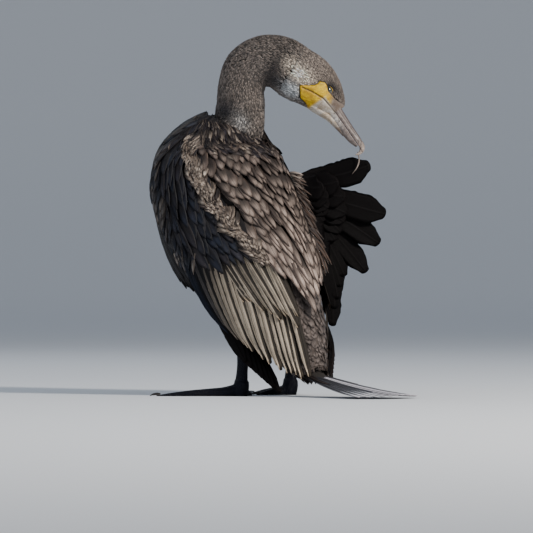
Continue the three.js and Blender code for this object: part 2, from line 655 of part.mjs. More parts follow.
// A named mesh of a solid.
function meshOf(name, body) {
  const { vertProperties, triVerts, numProp } = body.getMesh();
  const geometry = new THREE.BufferGeometry();
  const places = new Float32Array((vertProperties.length / numProp) * 3);
  for (let i = 0; i * numProp < vertProperties.length; i++) {
    places.set(vertProperties.subarray(i * numProp, i * numProp + 3), i * 3);
  }
  geometry.setAttribute("position", new THREE.BufferAttribute(places, 3));
  geometry.setIndex(new THREE.BufferAttribute(new Uint32Array(triVerts), 1));
  geometry.computeVertexNormals();
  const mesh = new THREE.Mesh(geometry, new THREE.MeshStandardMaterial(finishOf(name)));
  mesh.name = name;
  return mesh;
}

const cormorant = new THREE.Group();
for (const [name, body] of Object.entries(buildNodes())) cormorant.add(meshOf(name, body));

// The middle of the footprint is the origin, and the soles stand at zero.
const box = new THREE.Box3().setFromObject(cormorant, true);
const middle = box.getCenter(v3());
cormorant.children.forEach((mesh) => mesh.geometry.translate(-middle.x, -middle.y, -box.min.z));

export default cormorant;
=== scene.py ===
import math

import bpy
import numpy as np
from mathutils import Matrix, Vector


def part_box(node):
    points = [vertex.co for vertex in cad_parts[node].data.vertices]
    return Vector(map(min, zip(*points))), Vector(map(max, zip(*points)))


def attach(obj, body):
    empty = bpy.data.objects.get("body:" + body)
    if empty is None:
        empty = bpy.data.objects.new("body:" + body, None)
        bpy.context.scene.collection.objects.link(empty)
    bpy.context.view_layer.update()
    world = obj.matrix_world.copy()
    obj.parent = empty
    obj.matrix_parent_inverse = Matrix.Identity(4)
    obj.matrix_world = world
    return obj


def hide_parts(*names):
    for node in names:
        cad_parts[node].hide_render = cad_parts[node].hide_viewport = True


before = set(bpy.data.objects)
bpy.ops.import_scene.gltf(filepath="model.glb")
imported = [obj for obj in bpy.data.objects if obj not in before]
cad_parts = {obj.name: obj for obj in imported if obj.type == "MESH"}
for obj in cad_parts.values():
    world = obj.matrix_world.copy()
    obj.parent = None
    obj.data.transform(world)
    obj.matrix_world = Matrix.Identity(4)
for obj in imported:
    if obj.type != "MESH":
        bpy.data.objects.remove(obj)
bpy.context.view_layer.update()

# Lengths below are in millimetres, with the eye at a known place, as in the solid parts.
MM = 0.001
EYE_RIGHT = np.array([69.0, 28.8, 362.0])
EYE_BOX = np.array(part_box("eye_right"), float) / MM
SHIFT = EYE_RIGHT - EYE_BOX.mean(axis=0)
RANDOM = np.random.RandomState(11)


def mix(a, b, u):
    return a + (b - a) * u


def smoothstep(x, low, high):
    u = np.clip((np.asarray(x, float) - low) / (high - low), 0, 1)
    return u * u * (3 - 2 * u)


def unit(v):
    return v / np.maximum(np.linalg.norm(v, axis=-1, keepdims=True), 1e-9)


def rgb(red, green, blue):
    """A screen colour as the linear numbers that shaders take."""
    return (np.array([red, green, blue], float) / 255) ** 2.2


def profile(*values):
    """A smooth run of a size over t from 0 to 1."""
    v = np.array(values, float)

    def at(t):
        s = np.clip(np.asarray(t, float), 0, 1) * (len(v) - 1)
        i = np.minimum(s.astype(int), len(v) - 2)
        w = s - i
        before, start, end, after = (v[np.clip(i + k, 0, len(v) - 1)] for k in (-1, 0, 1, 2))
        a, b = (end - before) / 2, (after - start) / 2
        cube = (2 * start - 2 * end + a + b) * w**3
        return cube + (3 * end - 3 * start - 2 * a - b) * w**2 + a * w + start

    return at


def smooth_line(points):
    """A smooth curve through points, as a function of t from 0 to 1."""
    p = np.array(points, float)
    p = np.vstack([2 * p[0] - p[1], p, 2 * p[-1] - p[-2]])

    def at(t):
        s = np.clip(np.asarray(t, float), 0, 1) * (len(points) - 1)
        i = np.minimum(s.astype(int), len(points) - 2)
        w = (s - i)[..., None]
        a, b, c, d = p[i], p[i + 1], p[i + 2], p[i + 3]
        ab, bc, cd = (np.linalg.norm(x, axis=-1, keepdims=True) ** 0.5 for x in (b - a, c - b, d - c))
        start = ((b - a) / ab - (c - a) / (ab + bc) + (c - b) / bc) * bc
        end = ((c - b) / bc - (d - b) / (bc + cd) + (d - c) / cd) * bc
        cube = (2 * b - 2 * c + start + end) * w**3
        return cube + (3 * c - 3 * b - 2 * start - end) * w**2 + start * w + b

    return at


def steps(count):
    return np.linspace(0, 1, count)


def between(low, high, *shape):
    """Numbers strewn evenly from low to high."""
    return mix(low, high, RANDOM.rand(*shape))


def stack(*columns):
    """Rows of points from their columns, any of which may be a single number."""
    return np.stack(np.broadcast_arrays(*columns), axis=-1)


def bell(x, width):
    """One in the middle, and close to nothing at twice the width."""
    return np.exp(-((x / width) ** 2))


def circle(count):
    """Angles all round, in even steps."""
    return np.linspace(0, 2 * math.pi, count, endpoint=False)


def layered(tone, *layers):
    """A colour with others laid over it, each by its share at every point."""
    for colour, share in layers:
        tone = mix(tone, colour, share[:, None])
    return tone


# Directions of the bird, which heads half way between -X and +Y.
HALF = math.sqrt(0.5)
FORWARD = np.array([-HALF, HALF, 0])
LEFTWARD = np.array([-HALF, -HALF, 0])
UP = np.array([0.0, 0, 1])
MEDIAN = np.array([4.5, 4.5, 0])
NECK_SIDE = np.array([0.0, -1, 0])


def bird(forward, left, up):
    """A point given along the bird: forward, to its left, and up."""
    forward, left, up = (np.asarray(x, float)[..., None] for x in (forward, left, up))
    return MEDIAN + forward * FORWARD + left * LEFTWARD + up * UP


# The torso.
torso_forward = profile(76, 84, 74, 58, 37, 12, -13, -36, -53, -66)
torso_left = profile(-7, -2, 0, 0, 0, 0, 0, 0, 0, 0)
torso_height = profile(330, 294, 252, 212, 175, 140, 105, 70, 44, 27)
torso_wide = profile(23, 50, 65, 69, 68, 62, 53, 42, 30, 19)
torso_back = profile(21, 42, 54, 57, 55, 50, 42, 33, 23, 13)
torso_belly = profile(23, 46, 60, 66, 66, 59, 48, 36, 24, 13)


def torso_point(turn, t, lift):
    """A point on the torso: turn in degrees from the spine to the left, t from shoulders to tail."""
    turn, t, lift = np.broadcast_arrays(*(np.asarray(x, float) for x in (turn, t, lift)))
    step = 0.01
    ahead = torso_forward(t + step) - torso_forward(t - step)
    rise = torso_height(t + step) - torso_height(t - step)
    size = np.maximum(np.hypot(ahead, rise), 1e-9)
    dorsal_x, dorsal_z = rise / size, -ahead / size
    angle = np.radians(turn)
    wide = torso_wide(t)
    deep = np.where(np.cos(angle) > 0, torso_back(t), torso_belly(t))
    normal_y = np.sin(angle) / wide
    normal_d = np.cos(angle) / deep
    length = np.hypot(normal_y, normal_d)
    out = deep * np.cos(angle) + lift * normal_d / length
    left = torso_left(t) + wide * np.sin(angle) + lift * normal_y / length
    return bird(torso_forward(t) + dorsal_x * out, left, torso_height(t) + dorsal_z * out)


# Wings: how far a folded one stands off the torso.
WING_BASE = 8
WING_TURN = 132
wing_edge = profile(0, 1, 4, 12, 26, 17)
wing_along = profile(0.12, 1, 0.86, 0.64, 0.46, 0.4, 0.36, 0.34)


def wing_lift(turn, t):
    return WING_BASE + wing_edge(np.abs(turn) / WING_TURN) * wing_along(t)


def wing_point(turn, t, lift):
    return torso_point(turn, t, wing_lift(turn, t) + lift)


def wing_out(turn, t):
    return unit(wing_point(turn, t, 1) - wing_point(turn, t, 0))


def limb_frame(line, side, t):
    """Middle, across and top directions of a limb at t."""
    step = 0.004
    run = unit(line(np.clip(t + step, 0, 1)) - line(np.clip(t - step, 0, 1)))
    top = unit(np.cross(run, side))
    return line(t), unit(np.cross(top, run)), top


def limb_point(limb, t, angle, lift):
    """A point on a limb, at t along it and at an angle round it from its side."""
    line, side, wide, high = limb
    t, angle, lift = np.broadcast_arrays(*(np.asarray(x, float) for x in (t, angle, lift)))
    middle, across, top = limb_frame(line, side, t)
    x = ((wide(t) + lift) * np.cos(angle))[..., None]
    y = ((high(t) + lift) * np.sin(angle))[..., None]
    return middle + across * x + top * y


# Limbs: a line, the direction of its side, and its half width and half height along it.
NECK_LINE = smooth_line([
    (-60, 66, 250), (-50, 63, 288), (-38, 58, 320), (-35, 53, 345), (-34, 49, 366),
    (-26, 45, 387), (-8, 43, 397), (13, 42, 395), (31, 41, 383),
])
NECK = (
    NECK_LINE, NECK_SIDE,
    profile(34, 32, 28, 26, 25, 25, 25.5, 25.5, 25),
    profile(34, 33, 30.5, 28.5, 27.5, 29, 30.5, 31.5, 32),
)
HEAD_LINE = smooth_line([(31, 41, 383), (48, 41, 373), (62.5, 41, 359.5), (74, 41, 345), (79, 41, 337)])
HEAD = (HEAD_LINE, NECK_SIDE, profile(25, 23.5, 19.5, 13.5, 9.5), profile(32, 30.5, 25.5, 17.5, 12))
POUCH_LINE = smooth_line([
    (44, 41, 352), (52, 41, 344), (61, 41, 337), (70, 41, 330), (79, 41, 320.5), (88, 41, 309),
])
POUCH = (POUCH_LINE, NECK_SIDE, profile(12, 12, 10, 7.5, 5.5, 3), profile(7, 7, 5.8, 4.6, 3.6, 2))
EYE = np.array([69.0, 41, 362])
EYE_RADIUS = 6.4
BILL_BASE = np.array([78.0, 41, 335.5])
BILL_RUN = unit(np.array([0.568, 0, -0.823]))
BILL_TOP = unit(np.array([0.823, 0, 0.568]))
EYE_APART = 12.2


# Making meshes.
def mesh_of(name, points, quads, triangles=()):
    """An object from points in millimetres and faces of four and of three corners."""
    places = ((np.asarray(points, float).reshape(-1, 3) - SHIFT) * MM).astype(np.float32)
    faces = [np.asarray(kind, int).reshape(-1, corners) for kind, corners in ((quads, 4), (triangles, 3))]
    mesh = bpy.data.meshes.new(name)
    mesh.from_pydata(places.tolist(), [], faces[0].tolist() + faces[1].tolist())
    mesh.polygons.foreach_set("use_smooth", np.ones(len(mesh.polygons), bool))
    piece = bpy.data.objects.new(name, mesh)
    bpy.context.scene.collection.objects.link(piece)
    return piece


def places_of(piece):
    """The points of a piece, in millimetres."""
    mesh = piece.data
    flat = np.empty(len(mesh.vertices) * 3, np.float32)
    mesh.vertices.foreach_get("co", flat)
    return flat.reshape(-1, 3).astype(float) / MM + SHIFT


def set_places(piece, points):
    flat = ((points - SHIFT) * MM).astype(np.float32).ravel()
    piece.data.vertices.foreach_set("co", flat)
    piece.data.update()


def set_tint(piece, tint):
    """Gives each point of a piece its own colour."""
    layer = piece.data.color_attributes.new("tint", "FLOAT_COLOR", "POINT")
    four = np.ones((len(piece.data.vertices), 4), np.float32)
    four[:, :3] = np.clip(tint, 0, 1)
    layer.data.foreach_set("color", four.ravel())


def settle(piece, material, slot, *nodes):
    """Gives a piece its material and body, and hides the solid parts that it stands for."""
    piece.data.materials.append(material)
    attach(piece, "root")
    if nodes:
        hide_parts(*nodes)
    return piece


def sheet_faces(index):
    """Faces of a grid of point numbers, of which the rows close up into rings."""
    beside = np.roll(index, -1, axis=1)
    return np.stack([index[:-1], beside[:-1], beside[1:], index[1:]], axis=-1).reshape(-1, 4)


def tube(grid):
    """Points and faces of a closed tube of rings, with its two ends drawn to their middles."""
    rings, sides = grid.shape[:2]
    points = np.vstack([grid.reshape(-1, 3), grid[0].mean(axis=0), grid[-1].mean(axis=0)])
    index = np.arange(rings * sides).reshape(rings, sides)
    beside = np.roll(index, -1, axis=1)
    ends = [stack(beside[0], index[0], rings * sides), stack(index[-1], beside[-1], rings * sides + 1)]
    return points, sheet_faces(index), np.stack(ends, axis=1).reshape(-1, 3)


def limb_tube(limb, rings, sides, lift=0):
    return tube(limb_point(limb, steps(rings)[:, None], circle(sides)[None], lift))


def together(shapes):
    """Several closed shapes as one set of points and faces."""
    points, quads, triangles, count = [], [], [], 0
    for p, q, t in shapes:
        points.append(p)
        quads.append(np.asarray(q).reshape(-1, 4) + count)
        triangles.append(np.asarray(t).reshape(-1, 3) + count)
        count += len(p)
    return np.vstack(points), np.vstack(quads), np.vstack(triangles)


def welded(name, shapes, voxel, smooth):
    """One closed skin round several shapes that overlap, smoothed where they meet."""
    rough = mesh_of(name, *together(shapes))
    remesh = rough.modifiers.new("weld", "REMESH")
    remesh.mode = "VOXEL"
    remesh.voxel_size = voxel * MM
    relax = rough.modifiers.new("relax", "SMOOTH")
    relax.factor = 0.5
    relax.iterations = smooth
    whole = bpy.data.meshes.new_from_object(rough.evaluated_get(bpy.context.evaluated_depsgraph_get()))
    old = rough.data
    rough.modifiers.clear()
    rough.data = whole
    bpy.data.meshes.remove(old)
    whole.name = name
    whole.polygons.foreach_set("use_smooth", np.ones(len(whole.polygons), bool))
    return rough


# Materials.
class Nodes:
    """A small helper to write a node tree as a list of steps."""

    def __init__(self, name):
        self.material = bpy.data.materials.new(name)
        self.material.use_nodes = True
        self.tree = self.material.node_tree
        self.shader = self.tree.nodes["Principled BSDF"]

    def link(self, value, socket):
        if isinstance(value, bpy.types.NodeSocket):
            self.tree.links.new(value, socket)
        else:
            socket.default_value = value

    def add(self, kind, **settings):
        node = self.tree.nodes.new(kind)
        for key, value in settings.items():
            setattr(node, key, value)
        return node

    def math(self, operation, a, b=0.0, c=0.0):
        node = self.add("ShaderNodeMath", operation=operation)
        for value, socket in zip((a, b, c), node.inputs):
            self.link(value, socket)
        return node.outputs[0]

    def step(self, value, low, high, start=0.0, end=1.0):
        node = self.add("ShaderNodeMapRange", interpolation_type="SMOOTHSTEP")
        for v, socket in zip((value, low, high, start, end), node.inputs):
            self.link(v, socket)
        return node.outputs[0]

    def blend(self, factor, a, b, kind="MIX"):
        node = self.add("ShaderNodeMix", data_type="RGBA", blend_type=kind)
        self.link(factor, node.inputs[0])
        for value, socket in ((a, node.inputs[6]), (b, node.inputs[7])):
            self.link(value if isinstance(value, bpy.types.NodeSocket) else (*value, 1), socket)
        return node.outputs[2]

    def noise(self, scale, detail=3.0, stretch=None):
        place = self.add("ShaderNodeTexCoord").outputs["Object"]
        if stretch:
            mapping = self.add("ShaderNodeMapping")
            mapping.inputs["Scale"].default_value = stretch
            self.link(place, mapping.inputs["Vector"])
            place = mapping.outputs[0]
        node = self.add("ShaderNodeTexNoise")
        self.link(place, node.inputs["Vector"])
        node.inputs["Scale"].default_value = scale
        node.inputs["Detail"].default_value = detail
        return node.outputs["Fac"]

    def cells(self, scale, feature="F1"):
        node = self.add("ShaderNodeTexVoronoi", feature=feature)
        self.link(self.add("ShaderNodeTexCoord").outputs["Object"], node.inputs["Vector"])
        node.inputs["Scale"].default_value = scale
        return node.outputs["Distance"]

    def tint(self):
        return self.add("ShaderNodeAttribute", attribute_name="tint").outputs["Color"]

    def vane(self):
        """How far across and along its feather a spot is, from 0 to 1."""
        parts = self.add("ShaderNodeSeparateXYZ")
        self.link(self.add("ShaderNodeUVMap", uv_map="vane").outputs[0], parts.inputs[0])
        return parts.outputs[0], parts.outputs[1]

    def bump(self, height, strength, distance):
        node = self.add("ShaderNodeBump")
        node.inputs["Strength"].default_value = strength
        node.inputs["Distance"].default_value = distance
        self.link(height, node.inputs["Height"])
        self.link(node.outputs[0], self.shader.inputs["Normal"])

    def finish(self, colour, roughness, specular=0.5, sheen=0.0, coat=0.0):
        colour = colour if isinstance(colour, bpy.types.NodeSocket) else (*colour, 1)
        self.link(colour, self.shader.inputs["Base Color"])
        self.link(roughness, self.shader.inputs["Roughness"])
        self.shader.inputs["Specular IOR Level"].default_value = specular
        self.shader.inputs["Sheen Weight"].default_value = sheen
        self.shader.inputs["Coat Weight"].default_value = coat
        return self.material


NEAR_BLACK = (0.012, 0.01, 0.01)
QUILL = (0.03, 0.025, 0.022)


def feather_material(
    name, barbs, fringe, fringe_tone, shaft=QUILL, shaft_width=0.03, glow=1.0, inner=2.0, gloss=0.25,
    start=0.0,
):
    """A vane: fine slanted barbs, a shaft, a paler middle and a rim of another tone.

    fringe: how far out the rim begins, from the shaft at 0 to the edge at 1.
    inner: how far across the vane its dark part begins, partly inner web and partly painted shadow; above 1
    there is none.
    start: how far along the vane it comes out from under its neighbours.
    """
    n = Nodes(name)
    crossing, along = n.vane()
    across = n.math("ABSOLUTE", n.math("MULTIPLY_ADD", crossing, 2.0, -1.0))
    shown = n.math("MULTIPLY_ADD", along, 1 / (1 - start), -start / (1 - start))
    wobble = n.noise(180.0, 2.0)
    slant = n.math("ADD", n.math("MULTIPLY", across, -0.3), along)
    wave = n.math("SINE", n.math("MULTIPLY", n.math("MULTIPLY_ADD", wobble, 0.03, slant), barbs))
    edge = n.math("MAXIMUM", n.step(across, fringe, 1.0), n.step(shown, 0.5 + fringe / 2, 1.0))
    edge = n.math("MULTIPLY", edge, n.step(wobble, 0.25, 0.6, 0.55, 1.0))
    middle = n.math("MULTIPLY", n.step(across, 0.0, 0.7, 1.0, 0.0), n.step(shown, 0.1, 0.7))
    base = n.blend(middle, n.tint(), (glow, glow, glow), "MULTIPLY")
    base = n.blend(n.step(n.noise(70.0), 0.35, 0.65, 0.0, 0.45), base, (0.45, 0.43, 0.43), "MULTIPLY")
    root = n.blend(n.step(shown, -0.1, 0.65, 0.75, 0.0), base, NEAR_BLACK)
    striped = n.blend(n.step(wave, -1.0, 1.0, 0.0, 0.45), root, (0.01, 0.008, 0.008))
    rim = n.blend(1.0, n.tint(), fringe_tone, "MULTIPLY")
    rimmed = n.blend(edge, striped, rim)
    worn = n.math("MAXIMUM", n.step(across, 0.88, 0.97), n.step(shown, 0.9, 0.98))
    worn = n.math("MULTIPLY", worn, n.step(wobble, 0.4, 0.6, 0.1, 0.75))
    rimmed = n.blend(worn, rimmed, n.blend(1.0, n.tint(), (1.7, 1.65, 1.6), "MULTIPLY"))
    quill = n.step(across, shaft_width, shaft_width * 2.2, 1.0, 0.0)
    whole = n.blend(quill, rimmed, shaft)
    # From inner on the vane is near black: partly its darker inner web, partly painted shadow where the next
    # feather overlaps.
    whole = n.blend(n.step(crossing, inner, inner + 0.08, 0.0, 0.93), whole, (0.006, 0.006, 0.007))
    n.bump(wave, 0.35, 0.0003)
    return n.finish(whole, 0.55, gloss)


def tuft_material():
    """Short soft feathers, dark at the root and lighter at the tip."""
    n = Nodes("small neck feathers")
    _, along = n.vane()
    return n.finish(n.blend(n.step(along, 0.05, 0.9, 0.75, 0.0), n.tint(), NEAR_BLACK), 0.75, 0.3, 0.1)


def skin_material():
    n = Nodes("skin under the coat")
    n.bump(n.noise(900.0), 0.4, 0.0006)
    return n.finish(n.blend(n.noise(60.0), (0.012, 0.011, 0.011), (0.04, 0.034, 0.03)), 0.85, 0.2)


def face_material():
    """Bare skin: fine pebbles and wrinkles, a little glossy all over."""
    n = Nodes("bare face skin")
    pebbles = n.cells(1100.0)
    folds = n.noise(260.0, 4.0, (1.0, 1.0, 2.4))
    tone = n.blend(n.step(folds, 0.35, 0.65, 0.0, 0.45), n.tint(), (0.6, 0.48, 0.34), "MULTIPLY")
    tone = n.blend(n.step(pebbles, 0.15, 0.7, 0.6, 0.0), tone, (0.7, 0.62, 0.5), "MULTIPLY")
    tone = n.blend(n.step(n.noise(150.0, 5.0), 0.42, 0.6, 0.0, 0.75), tone, (0.6, 0.5, 0.38), "MULTIPLY")
    n.bump(n.math("ADD", pebbles, n.math("MULTIPLY", folds, 2.0)), 0.5, 0.0006)
    return n.finish(tone, 0.42)


def horn_material():
    """Horn of the bill: fine lines along it, and mottled plates."""
    n = Nodes("bill horn")
    lines = n.noise(700.0, 4.0, (0.5, 1.0, 0.5))
    plates = n.noise(160.0, 5.0)
    tone = n.blend(n.step(plates, 0.35, 0.7, 0.0, 0.4), n.tint(), (0.2, 0.15, 0.13))
    tone = n.blend(n.step(lines, 0.38, 0.66, 0.0, 0.7), tone, (0.06, 0.046, 0.042))
    n.bump(n.math("ADD", lines, plates), 0.35, 0.0005)
    return n.finish(tone, n.step(plates, 0.3, 0.7, 0.3, 0.5), coat=0.15)


def leg_material():
    """Black skin with small scales."""
    n = Nodes("scaly leg skin")
    scales = n.cells(420.0)
    edge = n.cells(420.0, "DISTANCE_TO_EDGE")
    tone = n.blend(n.step(edge, 0.0, 0.16, 0.0, 1.0), (0.004, 0.004, 0.006), n.tint())
    n.bump(n.math("SUBTRACT", n.step(edge, 0.0, 0.25), n.math("MULTIPLY", scales, 0.5)), 0.6, 0.0008)
    return n.finish(tone, n.step(scales, 0.1, 0.6, 0.4, 0.6), 0.15)


def claw_material():
    n = Nodes("claw horn")
    n.bump(n.noise(600.0), 0.2, 0.0003)
    return n.finish(n.blend(n.noise(200.0), (0.008, 0.008, 0.01), (0.05, 0.045, 0.04)), 0.25)


def eye_material():
    n = Nodes("eye")
    n.shader.inputs["Coat Roughness"].default_value = 0.02
    flecks = n.step(n.noise(1600.0, 3.0), 0.4, 0.7, 0.0, 0.4)
    return n.finish(n.blend(flecks, n.tint(), (0.01, 0.02, 0.02)), 0.12, coat=1.0)


# The coat. Feathers of one kind share a pattern of points and faces.
PATCH = 0.003  # how wide a feather's patch of the bake map is
FLOOR_GAP = 0.15  # how far the lowest feathers stay off the floor


class Coat:
    """Gathers feathers, and makes one piece of them."""

    def __init__(self):
        self.points, self.quads, self.triangles = [], [], []
        self.vane, self.bake, self.tint = [], [], []
        self.count = 0

    def add(self, points, quads, triangles, vane, tint, root):
        """points: feather by point; the rest of a pattern; tint and root: one for each feather."""
        n, k = points.shape[:2]
        starts = self.count + np.arange(n)[:, None, None] * k
        self.quads.append((np.asarray(quads, int).reshape(1, -1, 4) + starts).reshape(-1, 4))
        self.triangles.append((np.asarray(triangles, int).reshape(1, -1, 3) + starts).reshape(-1, 3))
        self.points.append(points.reshape(-1, 3))
        self.vane.append(np.tile(vane, (n, 1)))
        patch = (np.asarray(vane) - 0.5) * PATCH
        self.bake.append((np.clip(root, 0.002, 0.998)[:, None] + patch[None]).reshape(-1, 2))
        self.tint.append(np.repeat(np.broadcast_to(tint, (n, 3)), k, axis=0))
        self.count += n * k

    def piece(self, name, material, slot, *nodes):
        points = np.vstack(self.points)
        points[:, 2] = np.maximum(points[:, 2], FLOOR_GAP)
        made = mesh_of(name, points, np.vstack(self.quads), np.vstack(self.triangles))
        corner = np.empty(len(made.data.loops), np.int32)
        made.data.loops.foreach_get("vertex_index", corner)
        for label, values in (("OFBake", self.bake), ("vane", self.vane)):
            layer = made.data.uv_layers.new(name=label)
            layer.data.foreach_set("uv", np.vstack(values)[corner].astype(np.float32).ravel())
        set_tint(made, np.vstack(self.tint))
        return settle(made, material, slot, *nodes)


def vane_pattern(rows, across):
    """Faces of a thin closed vane: a grid above, a grid below, and one shared rim."""
    columns = len(across)
    top = np.arange(rows * columns).reshape(rows, columns)
    under = top.copy()
    inner = np.arange((rows - 2) * (columns - 2)).reshape(rows - 2, columns - 2) + rows * columns
    under[1:-1, 1:-1] = inner
    quads = []
    for i in range(rows - 1):
        for j in range(columns - 1):
            quads.append((top[i, j], top[i, j + 1], top[i + 1, j + 1], top[i + 1, j]))
            quads.append((under[i, j], under[i + 1, j], under[i + 1, j + 1], under[i, j + 1]))
    return quads


VANE_THICK = 0.4


def vanes(coat, run, out, half, lean, form, tint, root, arch=0.1, ridge=0.0, fray=0.0, hand=1):
    """Adds feathers. run and out give each feather's line and outward direction, row by row."""
    n, rows = run.shape[:2]
    outline, across = form[0], np.asarray(form[1], float)
    half, lean = np.broadcast_to(half, n), np.broadcast_to(lean, n)
    u = steps(rows)
    along = unit(np.gradient(run, axis=1))
    side = unit(np.cross(out, along))
    top = np.cross(along, side)
    cosine, sine = np.cos(lean)[:, None, None], np.sin(lean)[:, None, None]
    side, top = side * cosine + top * sine, top * cosine - side * sine
    width = half[:, None] * outline(u)[None]
    x = width[..., None] * across
    worn = 1 - fray * RANDOM.rand(n, rows, len(across)) * (np.abs(across) > 0.9)
    bent = arch * width[..., None] * (1 - across**2) + ridge * (np.abs(across) < 0.01)
    # Near the tip the edges lag behind the shaft, which rounds it.
    slip = -0.35 * width[..., None] * np.abs(across) ** 2 * smoothstep(u, 0.75, 1.0)[None, :, None]
    over = run[:, :, None] + side[:, :, None] * (x * worn)[..., None] + top[:, :, None] * bent[..., None]
    over = over + along[:, :, None] * slip[..., None]
    under = (over - top[:, :, None] * VANE_THICK)[:, 1:-1, 1:-1]
    points = np.concatenate([over.reshape(n, -1, 3), under.reshape(n, -1, 3)], axis=1)
    grid = np.stack(np.meshgrid(hand * across / 2 + 0.5, u), axis=-1)
    vane = np.vstack([grid.reshape(-1, 2), grid[1:-1, 1:-1].reshape(-1, 2)])
    coat.add(points, vane_pattern(rows, across), [], vane, tint, root)


TUFT_TRIANGLES = [(0, 3, 1), (1, 3, 4), (4, 3, 2), (2, 3, 0), (0, 4, 2), (0, 1, 4)]
TUFT_VANE = np.array([(0.5, 0), (0, 0.5), (1, 0.5), (0.5, 0.6), (0.5, 1)])


def tufts(coat, root, along, out, length, half, rise, tint, chart):
    """Adds small feathers: a root, a keel, two sides and a tip."""
    side = unit(np.cross(out, along))
    length, half, rise = (np.asarray(x, float)[:, None] for x in (length, half, rise))
    tip = root + along * length + out * rise
    middle = root + along * length * 0.5 + out * (rise * 0.5 + 0.1)
    sides = [middle - side * half, middle + side * half]
    points = np.stack([root, *sides, middle + out * half * 0.35, tip], axis=1)
    coat.add(points, [], TUFT_TRIANGLES, TUFT_VANE, tint, chart)


# Forms of feathers: the run of the width from root to tip, and where the columns of points lie.
WIDE = (-1, -0.7, -0.35, -0.06, 0, 0.06, 0.35, 0.7, 1)
SMALL = (-1, -0.5, 0, 0.5, 1)
COVERT = (profile(0.35, 0.75, 0.95, 1, 0.94, 0.72, 0.14), SMALL)
FLIGHT = (profile(0.35, 0.75, 0.95, 1, 1, 0.98, 0.92, 0.76, 0.28), WIDE)
LONG_COVERT = (FLIGHT[0], SMALL)
SPREAD = (profile(0.25, 0.6, 0.9, 1.05, 1.16, 1.24, 1.26, 1.1, 0.5), WIDE)
BARB = (profile(0.5, 0.9, 1, 0.8, 0.45, 0.1), SMALL)
PLUME = (BARB[0], (-1, 0, 1))

BRONZE = rgb(103, 92, 85)
BRONZE_DARK = rgb(62, 54, 52)
MANTLE = rgb(37, 34, 39)
PALE_WORN = rgb(150, 138, 126)
# SHADED is the coverts' own near-black, with painted shade and a painted bluish reflection of the sky in it.
SHADED = rgb(26, 31, 41)
OLIVE_GREY = rgb(200, 184, 163)
BLACKISH = rgb(17, 15, 16)
# RUMP_BROWN is lighter than the body feathers' own colour: partly painted light, outweighing the scapulars'
# shadow on the rump.
RUMP_BROWN = rgb(108, 98, 93)
LINING = rgb(104, 80, 66)
LINING_PALE = rgb(170, 156, 146)
# TAIL_GREY is the tail's own slaty dark, lightened as painted sheen where light glances off it.
TAIL_GREY = rgb(112, 112, 118)
LEG_BLACK = rgb(6, 11, 26)

# Edges of the groups of feathers, as turns for t from 0 to BAND_END.
BAND_END = 0.6
cleft_turn = profile(90, 76, 61, 50, 43, 40, 37)
band_turn = profile(104, 82, 72, 65, 58, 50, 41)
right_cleft_turn = profile(37, 37)
right_band_turn = profile(72, 72)
COVERT_TURN = 129
WING_FRONT = 112
# Where the groups end, as t, by turn from 0 to SPAN.
SPAN = 120
scapular_end = profile(0.77, 0.7, 0.64, 0.58, 0.52, 0.48, 0.4)
covert_end = profile(0.77, 0.77, 0.77, 0.735, 0.665, 0.57, 0.5)


def strewn(levels, low, high, spacing):
    """Places in staggered rows, each row at its t, between two turns."""
    turn, t = [], []
    for k, (level, start, end) in enumerate(zip(*np.broadcast_arrays(levels, low, high))):
        where = np.arange(start + 0.5 * spacing * (k % 2), end, spacing)
        turn.append(where)
        t.append(np.full(len(where), level))
    turn, t = np.concatenate(turn), np.concatenate(t)
    return turn + RANDOM.randn(len(turn)) * 1.7, t + RANDOM.randn(len(t)) * 0.01


def laid(
    coat, side, turn, t, reach, half, tint, swing=3.0, rise=3.2, rough=1.0, lean=0.15, form=COVERT, arch=0.1,
    start=0.0035,
):
    """Feathers laid on a folded wing, with their tips at turn and t.

    swing: how far the root is turned from the tip; rise: how far the tip lifts off the wing;
    rough: how uneven they lie; start: the least t of a root.
    """
    n = len(turn)
    u = steps(9)[None]
    reach, half, rise = (np.broadcast_to(np.asarray(x, float), n) for x in (reach, half, rise))
    swing = swing + 2 * rough * RANDOM.randn(n)
    turn_at = side * (turn[:, None] + swing[:, None] * (1 - u))
    t_at = np.maximum(t[:, None] - reach[:, None] * (1 - u), start * (1 + u))
    tip = rise + 0.7 * rough * RANDOM.rand(n)
    run = wing_point(turn_at, t_at, mix(-2.0, tip[:, None], u**0.8))
    leans = -side * (lean + 0.07 * rough * RANDOM.randn(n))
    size = half * (1 + 0.08 * RANDOM.randn(n))
    shade = between(0.6, 1.3, n, 1)
    root = stack(turn / 300 + 0.5, 0.03 + t * 0.85)
    out = wing_out(turn_at, t_at)
    vanes(coat, run, out, size, leans, form, tint * shade, root, arch=arch, fray=0.06, hand=side)


def mantle(coat, side, low):
    """Small dark feathers over the shoulders, swept across towards the back."""
    turn, t = strewn(np.linspace(0.035, 0.2, 15), low, 122, spacing=4.4)
    kept = t < mix(0.19, 0.1, smoothstep(turn, 20, 80)) + 0.02 * RANDOM.randn(len(turn))
    turn, t = turn[kept], t[kept]
    tone = layered(MANTLE, (PALE_WORN, 0.9 * RANDOM.rand(len(turn)) ** 4))
    half = mix(2.4, 4.0, t / 0.2)
    laid(coat, side, turn, t, 0.06, half, tone, swing=20.0, rough=1.8, start=0.018)


